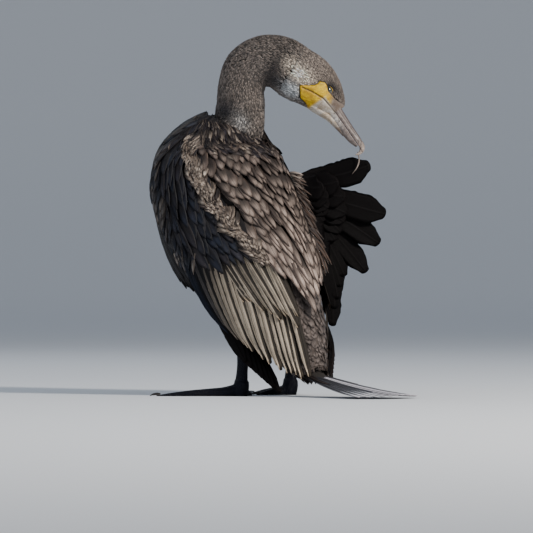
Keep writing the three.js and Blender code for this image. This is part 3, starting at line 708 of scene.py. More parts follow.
def scapulars(coat, side, low, high):
    """Bronze feathers over the back, each with a pale middle and a darker rim."""
    levels = np.linspace(0.13, 0.76, 19)
    turn, t = strewn(levels, low, high(levels / BAND_END), spacing=8.6)
    kept = t < scapular_end(np.abs(turn) / SPAN) + 0.012
    turn, t = turn[kept], t[kept]
    tone = layered(BRONZE, (BRONZE_DARK, 0.6 * (1 - smoothstep(t, 0.12, 0.32))))
    # Lighter towards the tail end and the spine, partly as painted light on the lit middle of the back.
    tone = tone * mix(1.1, 2.1, smoothstep(t - 0.003 * turn, 0.34, 0.62))[:, None]
    reach = mix(0.08, 0.17, smoothstep(t, 0.1, 0.75))
    laid(coat, side, turn, t, reach, mix(6.6, 10.0, t), tone, swing=4.0, rough=1.5)


def shaded_coverts(coat, side, low):
    """The dark coverts over the fore part of the wing; their tint adds painted shade and a painted sky
    reflection.
    """
    levels = np.linspace(0.08, 0.56, 14)
    turn, t = strewn(levels, low(levels / BAND_END), COVERT_TURN, spacing=7.0)
    kept = t < covert_end(np.abs(turn) / SPAN) - 0.07
    turn, t = turn[kept], t[kept]
    tone = layered(SHADED, (BRONZE_DARK, 0.35 * RANDOM.rand(len(turn))))
    laid(coat, side, turn, t, mix(0.11, 0.2, t), mix(6.8, 8.0, t), tone, lean=0.12, arch=0.08)


def ruffled_band(coat, count):
    """Small pale lesser coverts that stand up in a ragged band."""
    t = between(0.085, BAND_END, count)
    turn = band_turn(t / BAND_END) + mix(3.6, 2.8, t) * np.clip(RANDOM.randn(count), -1.7, 1.7)
    tone = between(PALE_WORN * 1.35, BRONZE_DARK * 0.8, count, 1)
    curl = 3 + 7 * np.sin(t * 75 + turn * 0.2)
    rise = 4.4 + 1.6 * RANDOM.rand(count)
    reach, half = mix(0.045, 0.075, t), mix(2.4, 4.4, t)
    laid(coat, 1, turn, t, reach, half, tone, swing=curl, rise=rise, rough=1.2, lean=0.1)


def greater_coverts(coat, side, low, count):
    """The row of long coverts over the roots of the flight feathers."""
    turn = mix(low, WING_FRONT, steps(count)) + RANDOM.randn(count) * 0.8
    t = covert_end(np.abs(turn) / SPAN) + RANDOM.randn(count) * 0.02
    # Their roots take SHADED, with its painted shade and painted bluish sky reflection, and they turn olive
    # grey towards the tips.
    tone = layered(SHADED * 1.2, (OLIVE_GREY * 0.9, smoothstep(t, 0.5, 0.68)))
    laid(
        coat, side, turn, t, 0.24, 7.0, tone, swing=3.5, rise=1.8, rough=0.8, lean=0.3, form=LONG_COVERT,
        arch=0.2,
    )


def fore_edge(coat, side, long_count, short_count):
    """Long dark feathers that hang at the bend of the wing, and ragged ones round them."""
    u = steps(long_count)
    t = mix(0.47, 0.57, u) + 0.01 * RANDOM.randn(long_count)
    hang = {"swing": -4.0, "rise": mix(11.0, 4.0, u), "form": LONG_COVERT, "arch": 0.16}
    laid(coat, side, mix(126, 112, u), t, mix(0.34, 0.3, u), 6.5, BLACKISH * 1.3, **hang)
    turn = between(104, 140, short_count)
    t = between(0.06, 0.54, short_count)
    # The ragged ones take SHADED, with its painted shade and painted bluish sky reflection.
    tone = layered(SHADED, (PALE_WORN, 0.5 * RANDOM.rand(short_count) ** 2))
    rise = mix(4.5, 0.5, smoothstep(turn, 122, 136))
    laid(coat, side, turn, t, 0.08, 4.2, tone, swing=-5.0, rise=rise, rough=2.4, arch=0.16)


def lining(coat, count):
    """Loose soft plumes where the opened wing leaves the body."""
    u = between(0.1, 1.0, count)
    root = wing_point(FAN_TURN + 10 * RANDOM.rand(count), mix(0.2, 0.52, u), 2.0)
    root = root + stack(0, -1.5 - 4 * RANDOM.rand(count), 0)
    angle = np.radians(fan_angle(u * 0.8) + 16 * RANDOM.randn(count))
    length = between(9, 24, count) * mix(0.8, 1.3, u)
    reach = stack(np.cos(angle), -0.1 + 0.25 * RANDOM.rand(count), np.sin(angle))
    v = steps(7)[None, :, None]
    sag = np.array([0, -0.1, -0.3]) * length[:, None]
    run = root[:, None] + (reach * length[:, None])[:, None] * v + sag[:, None] * v**2
    pale = np.clip(0.9 - 3.0 * u + 0.35 * RANDOM.randn(count), 0, 1)
    tone = layered(LINING * 0.5, (LINING_PALE, pale)) * between(0.5, 1.2, count, 1)
    lean = RANDOM.randn(count) * 0.4
    out = np.array([0.2, -1.0, 0.15])
    chart = stack(0.1 + 0.8 * u, 0.92)
    vanes(coat, run, out, length * 0.09, lean, PLUME, tone, chart, arch=0.3)


# Flight feathers of the arm: where on the wing their roots lie, and where their tips reach.
root_turn = profile(103, 82, 62, 42, 22)
root_t = profile(0.4, 0.44, 0.48, 0.5, 0.5)
tip_forward = profile(17, -4, -18, -32, -44, -54, -64, -74)
tip_side = profile(66, 65, 60, 54, 47, 39, 29, 18)
tip_up = profile(78, 70, 58, 47, 39, 31, 24, 20)
FLIGHT_ROWS = 26


def bowed(root, tip, bow):
    """Lines from roots to tips, bowed out half way."""
    u = steps(FLIGHT_ROWS)[None, :, None]
    return mix(root[:, None], tip[:, None], u) + bow[:, None] * 4 * u * (1 - u)


def secondaries(coat, side, count, last):
    """The long flight feathers of the arm, from the outermost to the tertials."""
    u = np.linspace(0, last, count)
    root = wing_point(side * root_turn(u), root_t(u), -3.4)
    tip = bird(tip_forward(u), side * tip_side(u), tip_up(u) + 1)
    tip = tip + RANDOM.randn(count, 3) * 1.2
    root_out = wing_out(side * root_turn(u), root_t(u))
    tip_out = bird(mix(-0.2, -0.85, u), side * mix(0.95, 0.45, u), 0.2) - MEDIAN
    middle_out = unit(mix(root_out, tip_out, 0.5))
    run = bowed(root, tip, middle_out * 8)
    v = steps(FLIGHT_ROWS)[None, :, None]
    out = mix(root_out[:, None], tip_out[:, None], v)
    lean = -side * 0.3 + RANDOM.randn(count) * 0.03
    # The outer feathers take SHADED, with its painted shade and painted bluish sky reflection, and turn
    # olive grey inwards.
    tint = layered(SHADED * 1.3, (OLIVE_GREY, smoothstep(u, 0.05, 0.4)))
    tint = tint * between(0.85, 1.15, count, 1)
    chart = stack(0.1 + 0.8 * u, 0.97)
    vanes(coat, run, out, 8.0, lean, FLIGHT, tint, chart, arch=0.2, ridge=0.3, fray=0.05, hand=side)


def primaries(coat, side, long_tip, short_tip, bow, tone):
    """The longest feathers, of the hand, that show below the arm's."""
    count = 7
    u = steps(count)
    root = wing_point(side * mix(121, 114, u), mix(0.57, 0.53, u), mix(-15, -10, u))
    tip = mix(long_tip, short_tip, u[:, None])
    out = bird(-0.3, side * 0.95, 0.1) - MEDIAN
    run = bowed(root, tip, out * (bow * mix(1, 2, u))[:, None])
    tint = tone * between(0.9, 1.3, count, 1)
    chart = stack(0.1 + 0.8 * u, 0.985)
    vanes(coat, run, out, 9.0, -side * 0.06, FLIGHT, tint, chart, ridge=0.5, fray=0.06)


# The open fan: where it spreads from, and the angle, reach, half width and depth of its feathers.
FAN_TURN = -48
FAN_HUB = np.array([35.4, 0, 237])
FAN_COUNT = 9
FAN_STEP = 1.4  # how far each feather lies behind the one above
fan_angle = profile(24, -12, -31, -49, -61, -66, -70, -73, -76)
fan_reach = profile(92, 105, 111, 121, 110, 119, 131, 141, 160)
fan_half = profile(14, 14.5, 12.5, 11, 10, 10, 10, 10, 10)
fan_depth = profile(42, 42, 43, 42, 38, 34, 30, 27, 24)


def fan(coat, count, jump, shade, share, drop):
    """A layer of the open fan of the right wing, from the feather held by the bill down.

    jump: how far the layer lies behind the first; share: of the full reach; drop: how far tips sink.
    """
    u = steps(count)
    n = u * (FAN_COUNT - 1)
    angle = np.radians(fan_angle(u))
    root = wing_point(FAN_TURN, mix(0.25, 0.47, u), 3) + stack(0, FAN_STEP * (n - 4) + jump, 0)
    reach = fan_reach(u) * share
    tip = FAN_HUB + stack(reach * np.cos(angle), fan_depth(u) + FAN_STEP * n + jump, reach * np.sin(angle))
    tip = tip + np.array([0, 0, drop])
    out = unit(stack(mix(0, 0.45, u), -1.0, 0.1))[:, None]
    bow = np.outer(np.minimum(4 * u, 1) * 6 - 6, UP) + wing_out(FAN_TURN, 0.4) * (8 * u)[:, None]
    run = bowed(root, tip, bow)
    # shade is the layer's tint; where it is darker than the feathers' own black, it is painted shade of the
    # wing's underside.
    tint = shade * between(0.8, 1.2, count, 1)
    half, lean = fan_half(u) * mix(1.0, 0.9, 1 - share), RANDOM.randn(count) * 0.02
    chart = stack(0.1 + 0.8 * u, 0.95)
    vanes(coat, run, out, half, lean, SPREAD, tint, chart, ridge=0.5, fray=0.08)


HELD = [(104.2, 40.5, 289), (106, 39.5, 280), (103.8, 38.5, 271), (98, 38.5, 263)]


def held_barb(coat):
    """A thin pale barb of the top feather, drawn out by the bill."""
    run = smooth_line(HELD)(steps(16))[None]
    vanes(coat, run, NECK_SIDE, 0.8, 0.0, BARB, LINING_PALE, np.array([[0.02, 0.95]]))


TAIL_ROOT = (-62, 25)
TAIL_LENGTH = 150
TAIL_COUNT = 13
TAIL_SPREAD = math.radians(17)
TAIL_ARCH = 2.24


def tail_run(place, root_up, length, settle_at, rows):
    """Lines of tail feathers that sink from the rump to a height; place is -1 to 1 across."""
    u = steps(rows)[None]
    angle = (place * TAIL_SPREAD)[:, None]
    reach = length[:, None] * u
    height = settle_at[:, None] + (TAIL_ROOT[1] + root_up - settle_at)[:, None] * (1 - u) ** 1.5
    return bird(TAIL_ROOT[0] - reach * np.cos(angle), 9 * place[:, None] + reach * np.sin(angle), height)


def tail(coat):
    """The stiff tail feathers, with pale shafts."""
    place = np.linspace(-1, 1, TAIL_COUNT)
    length = TAIL_LENGTH * (1 - 0.13 * place**2)
    up = TAIL_ARCH * (1 - np.abs(place))
    run = tail_run(place, up, length, 2.0 + up, FLIGHT_ROWS)
    # Their grey is partly painted sheen.
    tint = TAIL_GREY * between(0.8, 1.15, TAIL_COUNT, 1)
    chart = stack(mix(0.2, 0.8, (place + 1) / 2), 0.97)
    vanes(coat, run, UP, 8.2, -0.17 * np.sign(place), FLIGHT, tint, chart, ridge=0.7, fray=0.08)


def tail_coverts(coat):
    """Three rows of coverts over the roots of the tail feathers."""
    place = np.repeat(np.linspace(-0.9, 0.9, 9), 3)
    stage = np.tile([0.0, 0.5, 1.0], 9)
    length = 26 + 30 * stage + 3 * RANDOM.randn(len(place))
    run = tail_run(place + 0.05 * RANDOM.randn(len(place)), 5 - 2 * stage, length, 19 - 3.5 * stage, 10)
    tint = BRONZE_DARK * between(0.7, 1.3, len(place), 1)
    chart = stack(0.5 + 0.3 * place, 0.9 + 0.03 * stage)
    vanes(coat, run, UP, 8.0, -0.1 * np.sign(place), COVERT, tint, chart, fray=0.06)


BODY_FEATHER = 24.0
BODY_SPACING = 6.6
BODY_ROWS = 50
TORSO_LENGTH = 340


def body_feathers(coat):
    """Contour feathers over the torso where no wing lies."""
    turn, t = [], []
    for k in range(BODY_ROWS):
        v = (k + 0.5) / BODY_ROWS
        count = int(2 * math.pi * float(torso_wide(v)) / BODY_SPACING)
        turn.append((np.arange(count) + 0.5 * (k % 2)) * 360 / count - 180)
        t.append(np.full(count, v))
    turn, t = np.concatenate(turn), np.concatenate(t)
    turn = turn + RANDOM.randn(len(turn)) * 1.5
    t = t + RANDOM.randn(len(t)) * 0.006
    bare = (np.abs(turn) > 96) | (t > 0.5) | ((turn < -14) & (turn > -112)) | (t < 0.1)
    turn, t = turn[bare], t[bare]
    n = len(turn)
    u = steps(5)[None]
    size = BODY_FEATHER * (1 + 0.15 * RANDOM.randn(n))
    t_at = np.clip(t[:, None] + (size / TORSO_LENGTH)[:, None] * u, 0.003, 0.997)
    turn_at = turn[:, None] + (RANDOM.randn(n) * 2)[:, None] * u
    lift = mix(-3.0, 0.4, u**0.8) + (0.7 * RANDOM.rand(n))[:, None] * u
    run = torso_point(turn_at, t_at, lift)
    out = unit(torso_point(turn_at, t_at, 1) - torso_point(turn_at, t_at, 0))
    # The tint is partly painted light over the feathers' own grey brown.
    tint = RUMP_BROWN * between(0.7, 1.3, n, 1)
    chart = stack(turn / 380 + 0.5, t * 0.9 + 0.03)
    vanes(coat, run, out, size * 0.25, RANDOM.randn(n) * 0.12, COVERT, tint, chart, arch=0.12)


# The head, seen from the side: where the face is bare, and the line of the mouth.
BARE = np.array([
    (35.5, 366.5), (38.5, 368), (51, 367), (56.5, 369), (59, 372), (65, 371.5), (67.5, 367.5), (69, 361.5),
    (73, 356), (78, 351), (84, 346), (92, 338), (92, 322), (70, 322), (56, 335), (50, 340.5), (44, 345.5),
    (36, 353),
])
MOUTH = np.array([(38.5, 365), (50, 360), (63.7, 351.6), (81.4, 331.6)])


def near_line(line, x, z):
    """How far a spot is from a broken line."""
    best = np.full(np.shape(x), 1e9)
    for a, b in zip(line[:-1], line[1:]):
        run = b - a
        u = np.clip(((x - a[0]) * run[0] + (z - a[1]) * run[1]) / (run @ run), 0, 1)
        best = np.minimum(best, np.hypot(x - a[0] - u * run[0], z - a[1] - u * run[1]))
    return best


def inside(corners, x, z):
    """How far inside an outline a spot is; less than nothing outside."""
    within = np.zeros(np.shape(x), bool)
    for a, b in zip(corners, np.roll(corners, -1, axis=0)):
        crosses = (a[1] > z) != (b[1] > z)
        level = np.where(crosses, (z - a[1]) / np.where(b[1] == a[1], 1, b[1] - a[1]), 0)
        within ^= crosses & (x < a[0] + level * (b[0] - a[0]))
    edge = near_line(np.vstack([corners, corners[:1]]), x, z)
    return np.where(within, edge, -edge)


NECK_BROWN = rgb(118, 107, 99)
YELLOW = rgb(228, 188, 6)
OLIVE = rgb(158, 130, 10)
HORN_WHITE = rgb(200, 194, 186)
HORN_PINK = rgb(128, 117, 111)
HORN_DARK = rgb(64, 54, 52)
HORN_SEAM = rgb(96, 74, 66)
GROOVE_BROWN = rgb(90, 72, 64)
HOOK_PALE = rgb(196, 176, 160)
TIP_GREY = rgb(90, 84, 80)
MOUTH_DARK = rgb(60, 44, 26)
LID_YELLOW = rgb(190, 150, 20)
# The upper lids' dark tone is painted shade of the brow.
LID_SHADE = rgb(66, 54, 46)
# The iris is its own green, darkened as painted shade of the brow over the eye.
PUPIL, IRIS, EYE_RIM = rgb(6, 8, 8), rgb(40, 52, 44), rgb(20, 22, 20)
PUPIL_EDGE, IRIS_EDGE = (24, 26), (40, 46)
HEAD_PATCHES = [
    # x, z, half length, half width, slope in degrees, colour, strength
    (62, 388, 26, 15, -50, rgb(150, 136, 125), 0.9),
    # Painted shadow of the head on the neck, in this patch and the next.
    (9, 390, 26, 8, 61, rgb(44, 38, 38), 0.95),
    (8, 373, 15, 9, -10, rgb(46, 40, 40), 0.9),
    (38, 380, 19, 9, -45, rgb(255, 236, 212), 1.0),
    (29, 361, 13, 8, -22, rgb(208, 210, 210), 1.0),
    # Partly the dark feathers before the eye, partly painted shade over the eye.
    (75, 363, 11, 5, -52, rgb(34, 31, 33), 0.95),
    # Painted shade on the side of the neck turned from the light.
    (-52, 342, 14, 14, 0, rgb(40, 36, 40), 0.95),
    (-34, 328, 12, 9, -60, rgb(168, 164, 160), 0.85),
]


def neck_tone(points):
    """The colour of the short feathers at their places on the neck and head, with painted shade and shadow
    in some patches.
    """
    tone = NECK_BROWN
    for cx, cz, along, across, slope, colour, strength in HEAD_PATCHES:
        a = math.radians(slope)
        x, z = points[:, 0] - cx, points[:, 2] - cz
        u = (x * math.cos(a) + z * math.sin(a)) / along
        v = (z * math.cos(a) - x * math.sin(a)) / across
        tone = layered(tone, (colour, strength * np.exp(-(u * u + v * v))))
    return tone


def limb_tufts(coat, limb, count, start, size, back, tone, chart_start, skip=None):
    """Small feathers strewn evenly over a limb; back is -1 where they lie towards its start."""
    t = between(start, 1, count * 2)
    _, _, wide, high = limb
    girth = wide(t) + high(t)
    keep = RANDOM.rand(len(t)) < girth / girth.max()
    t = t[keep][:count]
    angle = RANDOM.rand(len(t)) * 2 * math.pi
    root = limb_point(limb, t, angle, -0.8)
    if skip is not None:
        kept = ~skip(root)
        t, angle, root = t[kept], angle[kept], root[kept]
    n = len(t)
    out = unit(limb_point(limb, t, angle, 1) - limb_point(limb, t, angle, 0))
    along = unit(limb_point(limb, t + 0.01 * back, angle, 0) - limb_point(limb, t, angle, 0))
    sway = np.cross(out, along) * (RANDOM.randn(n) * 0.16)[:, None]
    along = unit(along + sway)
    length = size(t) * between(0.8, 1.2, n)
    rise = 1.1 + 0.25 * RANDOM.randn(n)
    speckle = np.where(RANDOM.rand(n) < 0.36, 1.6, between(0.3, 0.95, n))
    tint = tone(root) * speckle[:, None]
    chart = stack(angle / (2 * math.pi), t * 0.4 + chart_start)
    tufts(coat, root, along, out, length, length * 0.17, rise, tint, chart)


def bare_face(root):
    """Whether small feathers stay off a spot of the head."""
    x, z = root[:, 0], root[:, 2]
    eye = np.hypot(x - EYE[0], z - EYE[2]) < 5.6
    return (inside(BARE, x, z) > 0.3) | eye


# Pieces.
def wing_flesh(side, inner, front, start):
    """The flesh of a folded wing, from its inner edge to its front."""
    t = np.linspace(start, 0.58, 14)[:, None]
    turn = mix(inner, front(t), steps(14)[None])
    over, under = wing_point(side * turn, t, -3.5), torso_point(side * turn, t, -4.0)
    return tube(np.concatenate([over, under[:, ::-1]], axis=1))


THIGH_RISE = ((26, 34, 140), (22, 37, 105), (15, 40, 78), (8, 41, 60))


def thigh(side):
    line = smooth_line([bird(f, side * left, up) for f, left, up in THIGH_RISE])
    return (line, LEFTWARD, profile(24, 23, 17, 8.5), profile(32, 30, 22, 10))


def skin():
    """One skin under the whole coat."""
    turn = np.linspace(0, 360, 48, endpoint=False)[None]
    shapes = [
        tube(torso_point(turn, np.linspace(0.004, 0.996, 50)[:, None], -2.5)),
        limb_tube(NECK, 40, 32, -1.0),
        limb_tube(HEAD, 24, 32, -1.0),
    ]
    for side in (1, -1):
        shapes.append(limb_tube(thigh(side), 16, 24, -2.0))
        shapes.append(wing_flesh(side, 2, lambda t: mix(125, 108, smoothstep(t, 0.1, 0.24)), 0.02))
        shapes.append(wing_flesh(side, 108, profile(129, 129), 0.1))
    rump = smooth_line([bird(-46, 0, 32), bird(-64, 0, 26), bird(-82, 0, 19.5), bird(-98, 0, 14.5)])
    shapes.append(limb_tube((rump, LEFTWARD, profile(16, 14, 11, 6), profile(12, 8, 5, 2.5)), 12, 20))
    made = welded("skin", shapes, voxel=2.4, smooth=8)
    nodes = ["torso", "neck_lower", "neck_middle", "neck_upper", "head", "thigh_left", "thigh_right"]
    return settle(made, skin_material(), "plumage", *nodes)


def face():
    """The bare skin of the face and the pouch under the bill."""
    shapes = []
    for turn in (0, math.pi):
        t = np.linspace(0.05, 1.0, 90)[:, None]
        angle = np.linspace(math.radians(-70), math.radians(75), 100)[None]
        angle = angle if turn == 0 else math.pi - angle
        flat = limb_point(HEAD, t, angle, 0)
        x, z = flat[..., 0], flat[..., 2]
        depth = inside(BARE, x, z)
        line = near_line(MOUTH, x, z)
        lift = mix(-3.5, 0.9, smoothstep(depth, -2.0, 1.2)) - 1.3 * bell(line, 0.9)
        ahead = (flat - BILL_BASE) @ BILL_RUN
        lift = mix(lift, -0.1, smoothstep(ahead, -14, -4))
        over, under = limb_point(HEAD, t, angle, lift), limb_point(HEAD, t, angle, -5)
        shapes.append(tube(np.concatenate([over, under[:, ::-1]], axis=1)))
    shapes.append(limb_tube(POUCH, 40, 48))
    made = mesh_of("bare_face", *together(shapes))
    points = places_of(made)
    x, z = points[:, 0], points[:, 2]
    along, top, _ = bill_places(made)
    white, pink = smoothstep(along, -24.5, -20.5), smoothstep(along, 2, 22)
    low = layered(YELLOW, (HORN_WHITE, white), (HORN_PINK, pink))
    shade = 0.65 * smoothstep(z, 362, 368) * smoothstep(x, 56, 62)
    high = layered(YELLOW, (OLIVE, shade), (HORN_PINK, smoothstep(along + 0.7 * top, -19, -8)))
    side = smoothstep(top, -1.5, 1.5) * smoothstep(along, -26, -20)
    side = side + smoothstep(z - 0.45 * x, 339, 341) * (along < -24)
    tint = mix(low, high, np.clip(side, 0, 1)[:, None])
    set_tint(made, layered(tint, (MOUTH_DARK, 0.9 * bell(near_line(MOUTH, x, z), 0.8))))
    return settle(made, face_material(), "bare_skin", "gular_pouch")


# The bill, along it from its base: half width, and height above and below the line of the mouth.
BILL_LENGTH = 49
BILL_START = -8
upper_high = profile(9.5, 8.6, 8, 7.6, 7.4, 7)
lower_high = profile(9.5, 9.2, 8.8, 8, 6.6, 3)
bill_wide = profile(9, 7.6, 6.4, 5.6, 5, 3.6)


def bill_point(along, top, across):
    along, top, across = (np.asarray(x, float)[..., None] for x in (along, top, across))
    return BILL_BASE + BILL_RUN * along + BILL_TOP * top + NECK_SIDE * across


def blade(high, sign, end):
    """One half of the bill, above or below the line of the mouth."""
    t = np.linspace(0, end, 40)[:, None]
    angle = np.linspace(0, math.pi, 20)[None]
    top = sign * (0.2 + high(t) * np.sin(angle) ** 0.8)
    return tube(bill_point(mix(BILL_START, BILL_LENGTH, t), top, bill_wide(t) * np.cos(angle)))


def bill_places(piece):
    """How far each point of a bill is along it, and above the line of the mouth."""
    local = places_of(piece) - BILL_BASE
    return local @ BILL_RUN, local @ BILL_TOP, local @ NECK_SIDE


def bill():
    """The two halves of the bill: a groove along the upper one, and a hook at its end."""
    bend = [(46, 3.8), (51, 3), (54.5, 0), (55.6, -4.5), (54.6, -9)]
    line = smooth_line([bill_point(a, b, 0) for a, b in bend])
    hook = (line, NECK_SIDE, profile(4, 3.4, 2.6, 1.7, 0.7), profile(3.6, 3.4, 2.7, 1.9, 0.8))
    weld = {"voxel": 0.6, "smooth": 4}
    upper = welded("bill_upper_horn", [blade(upper_high, 1, 1), limb_tube(hook, 20, 16)], **weld)
    lower = welded("bill_lower_horn", [blade(lower_high, -1, 0.97)], **weld)
    along, top, across = bill_places(upper)
    groove = bell(top - 4.6, 0.7) * smoothstep(along, -6, 2) * (1 - smoothstep(along, 30, 44))
    nail = bell(along - 45, 0.9) * smoothstep(top, 3, 6)
    inward = stack(0, np.sign(across), 0)
    set_places(upper, places_of(upper) + inward * (0.9 * groove)[:, None] - BILL_TOP * (0.4 * nail)[:, None])
    ridge = smoothstep(top, 3.5, 7.5) * (1 - smoothstep(np.abs(across), 3, 6))
    set_tint(upper, layered(
        HORN_PINK, (HORN_DARK, 0.9 * ridge), (GROOVE_BROWN, 0.7 * groove),
        (HOOK_PALE, 0.7 * smoothstep(along, 44, 52)), (HORN_SEAM, 0.8 * bell(top, 0.9)),
    ))
    settle(upper, horn_material(), "bill_horn", "bill_upper")
    along, top, across = bill_places(lower)
    set_tint(lower, layered(
        HORN_WHITE, (HORN_PINK, smoothstep(along, 4, 26)),
        (TIP_GREY, 0.8 * smoothstep(along, 38, 47)), (HORN_SEAM, 0.7 * bell(top + 0.6, 0.8)),
    ))
    settle(lower, horn_material(), "bill_horn", "bill_lower")


def eye(name, side):
    """An eyeball with its pupil and iris."""
    middle = EYE + np.array([0, side * EYE_APART, 0])
    polar = np.linspace(0.02, math.pi - 0.02, 40)[:, None]
    angle = circle(48)[None]
    # The front bulges a little, as a cornea does.
    radius = EYE_RADIUS * (1 + 0.06 * bell(polar, 0.5))
    flat = radius * np.sin(polar)
    ball = stack(flat * np.cos(angle), side * radius * np.cos(polar), flat * np.sin(angle))
    made = mesh_of(name, *tube(middle + ball))
    local = unit(places_of(made) - middle)
    tilt = np.degrees(np.arccos(np.clip(local[:, 1] * side, -1, 1)))
    iris, rim = smoothstep(tilt, *PUPIL_EDGE), smoothstep(tilt, *IRIS_EDGE)
    set_tint(made, layered(PUPIL, (IRIS, iris), (EYE_RIM, rim)))
    settle(made, eye_material(), "eye", "eye_left" if side > 0 else "eye_right")


LID_SLOPE = -48
LID_REACH = 4.9
LID_THICK = 1.15
LID_LONG = 1.12
LID_NARROW = 0.86


def lids():
    """A soft rim round each eye, lowest towards the bill."""
    shapes = []
    slope = math.radians(LID_SLOPE)
    around, ring = circle(56)[:, None], circle(12)[None]
    reach = LID_REACH + LID_THICK * np.cos(ring)
    u, v = LID_LONG * reach * np.cos(around), LID_NARROW * reach * np.sin(around)
    index = np.arange(u.size).reshape(u.shape)
    quads = sheet_faces(np.vstack([index, index[:1]]))
    for side in (1, -1):
        x = u * math.cos(slope) - v * math.sin(slope)
        z = u * math.sin(slope) + v * math.cos(slope)
        y = side * (EYE_APART + 3.6 + np.sin(ring) - 0.03 * u**2)
        shapes.append(((EYE + stack(x, y, z)).reshape(-1, 3), quads, []))
    made = mesh_of("eyelids", *together(shapes))
    points = places_of(made)
    # The upper part of each lid is darkened: painted shade of the brow.
    upper = smoothstep(points[:, 2] - points[:, 0], 291, 297)
    set_tint(made, layered(LID_YELLOW, (LID_SHADE, upper)))
    return settle(made, face_material(), "bare_skin")


# Each toe's direction from ahead, in degrees, its length and its half width.
TOES = [(46, 100, 5), (22, 82, 5), (-4, 62, 4.8), (-62, 42, 4.4)]
FOOT = (13.5, 41)  # the foot's middle, forward and out to its side
# Points of the lower leg, forward and up, and its half widths and half heights.
ANKLE = ((-1, 18), (0, 10), (3, 3))
ANKLE_SIZE = (profile(8, 9, 9), profile(9.5, 10, 11))
SHANK = ((8, 66), (8.5, 58), (11, 36), (13, 16))
SHANK_SIZE = (profile(6.5, 7.5, 5.6, 6.2), profile(9, 10, 7.6, 8.6))


def foot_point(side, turn, reach, height):
    angle = np.radians(turn)
    left = side * (FOOT[1] + reach * np.sin(angle))
    return bird(FOOT[0] + reach * np.cos(angle), left, height)


def toe_limb(side, turn, line, wide, high):
    """A limb that lies along a toe; line gives its reach and height, point by point."""
    across = foot_point(side, turn + 90, 1, 0) - foot_point(side, 0, 0, 0)
    run = smooth_line([foot_point(side, turn, reach, height) for reach, height in line])
    return (run, across, profile(*wide), profile(*high))


def toe(side, turn, length, wide):
    line = [(length * i / 5, high) for i, high in enumerate((8, 5, 4, 2.75, 1.5, 0.3))]
    widths = (wide + 2, wide + 1, wide * 0.9, wide * 0.85, wide * 0.7, 1)
    return limb_tube(toe_limb(side, turn, line, widths, (8, 6, 5, 4.4, 3, 1.2)), 30, 16)


def claw(side, turn, length):
    line = [(length - 5, 1.8), (length, 2.6), (length + 4.5, 1.9), (length + 7.5, 0.5)]
    return limb_tube(toe_limb(side, turn, line, (1.7, 1.5, 1.0, 0.3), (2.0, 1.8, 1.2, 0.4)), 14, 10)


def web(side, outer, inner):
    """The skin between two toes, hollowed at its front edge."""
    v = steps(24)[:, None]
    u = steps(16)[None]
    turn = mix(outer[0], inner[0], u)
    reach = mix(outer[1], inner[1], u) * (0.92 - 0.16 * np.sin(math.pi * u))
    where = mix(4, reach, v)
    fold = 0.35 * np.sin(where * 0.5) * np.sin(math.pi * u)
    over = foot_point(side, turn, where, mix(5, 1.5, v) + fold)
    under = foot_point(side, turn, where, 0 * where)
    return tube(np.concatenate([over, under[:, ::-1]], axis=1))


def off_floor(piece):
    """Lifts what dips below the floor back up to it, and tells how many points the piece has."""
    points = places_of(piece)
    points[:, 2] = np.maximum(points[:, 2], SHIFT[2])
    set_places(piece, points)
    return len(points)


def foot(name, side):
    """A webbed foot with its lower leg in one skin, and its claws."""
    shapes = [toe(side, *form) for form in TOES]
    shapes += [web(side, a, b) for a, b in zip(TOES[:-1], TOES[1:])]
    ankle = smooth_line([foot_point(side, 0, ahead, up) for ahead, up in ANKLE])
    shapes.append(limb_tube((ankle, LEFTWARD, *ANKLE_SIZE), 10, 20))
    shank = smooth_line([bird(ahead, side * FOOT[1], up) for ahead, up in SHANK])
    shapes.append(limb_tube((shank, LEFTWARD, *SHANK_SIZE), 30, 20))
    made = welded("leg_" + name, shapes, voxel=1.1, smooth=3)
    count = off_floor(made)
    set_tint(made, LEG_BLACK * between(0.8, 1.2, count, 1))
    settle(made, leg_material(), "leg_skin", "foot_" + name, "tarsus_" + name)
    horn = mesh_of("claws_" + name, *together([claw(side, turn, length) for turn, length, _ in TOES]))
    off_floor(horn)
    return settle(horn, claw_material(), "leg_skin")


def grow(name, material, *groups, slot="plumage", nodes=()):
    """One piece of the coat. A group is a function, and what it takes after the coat."""
    coat = Coat()
    for fill, *values in groups:
        fill(coat, *values)
    coat.piece(name, material, slot, *nodes)


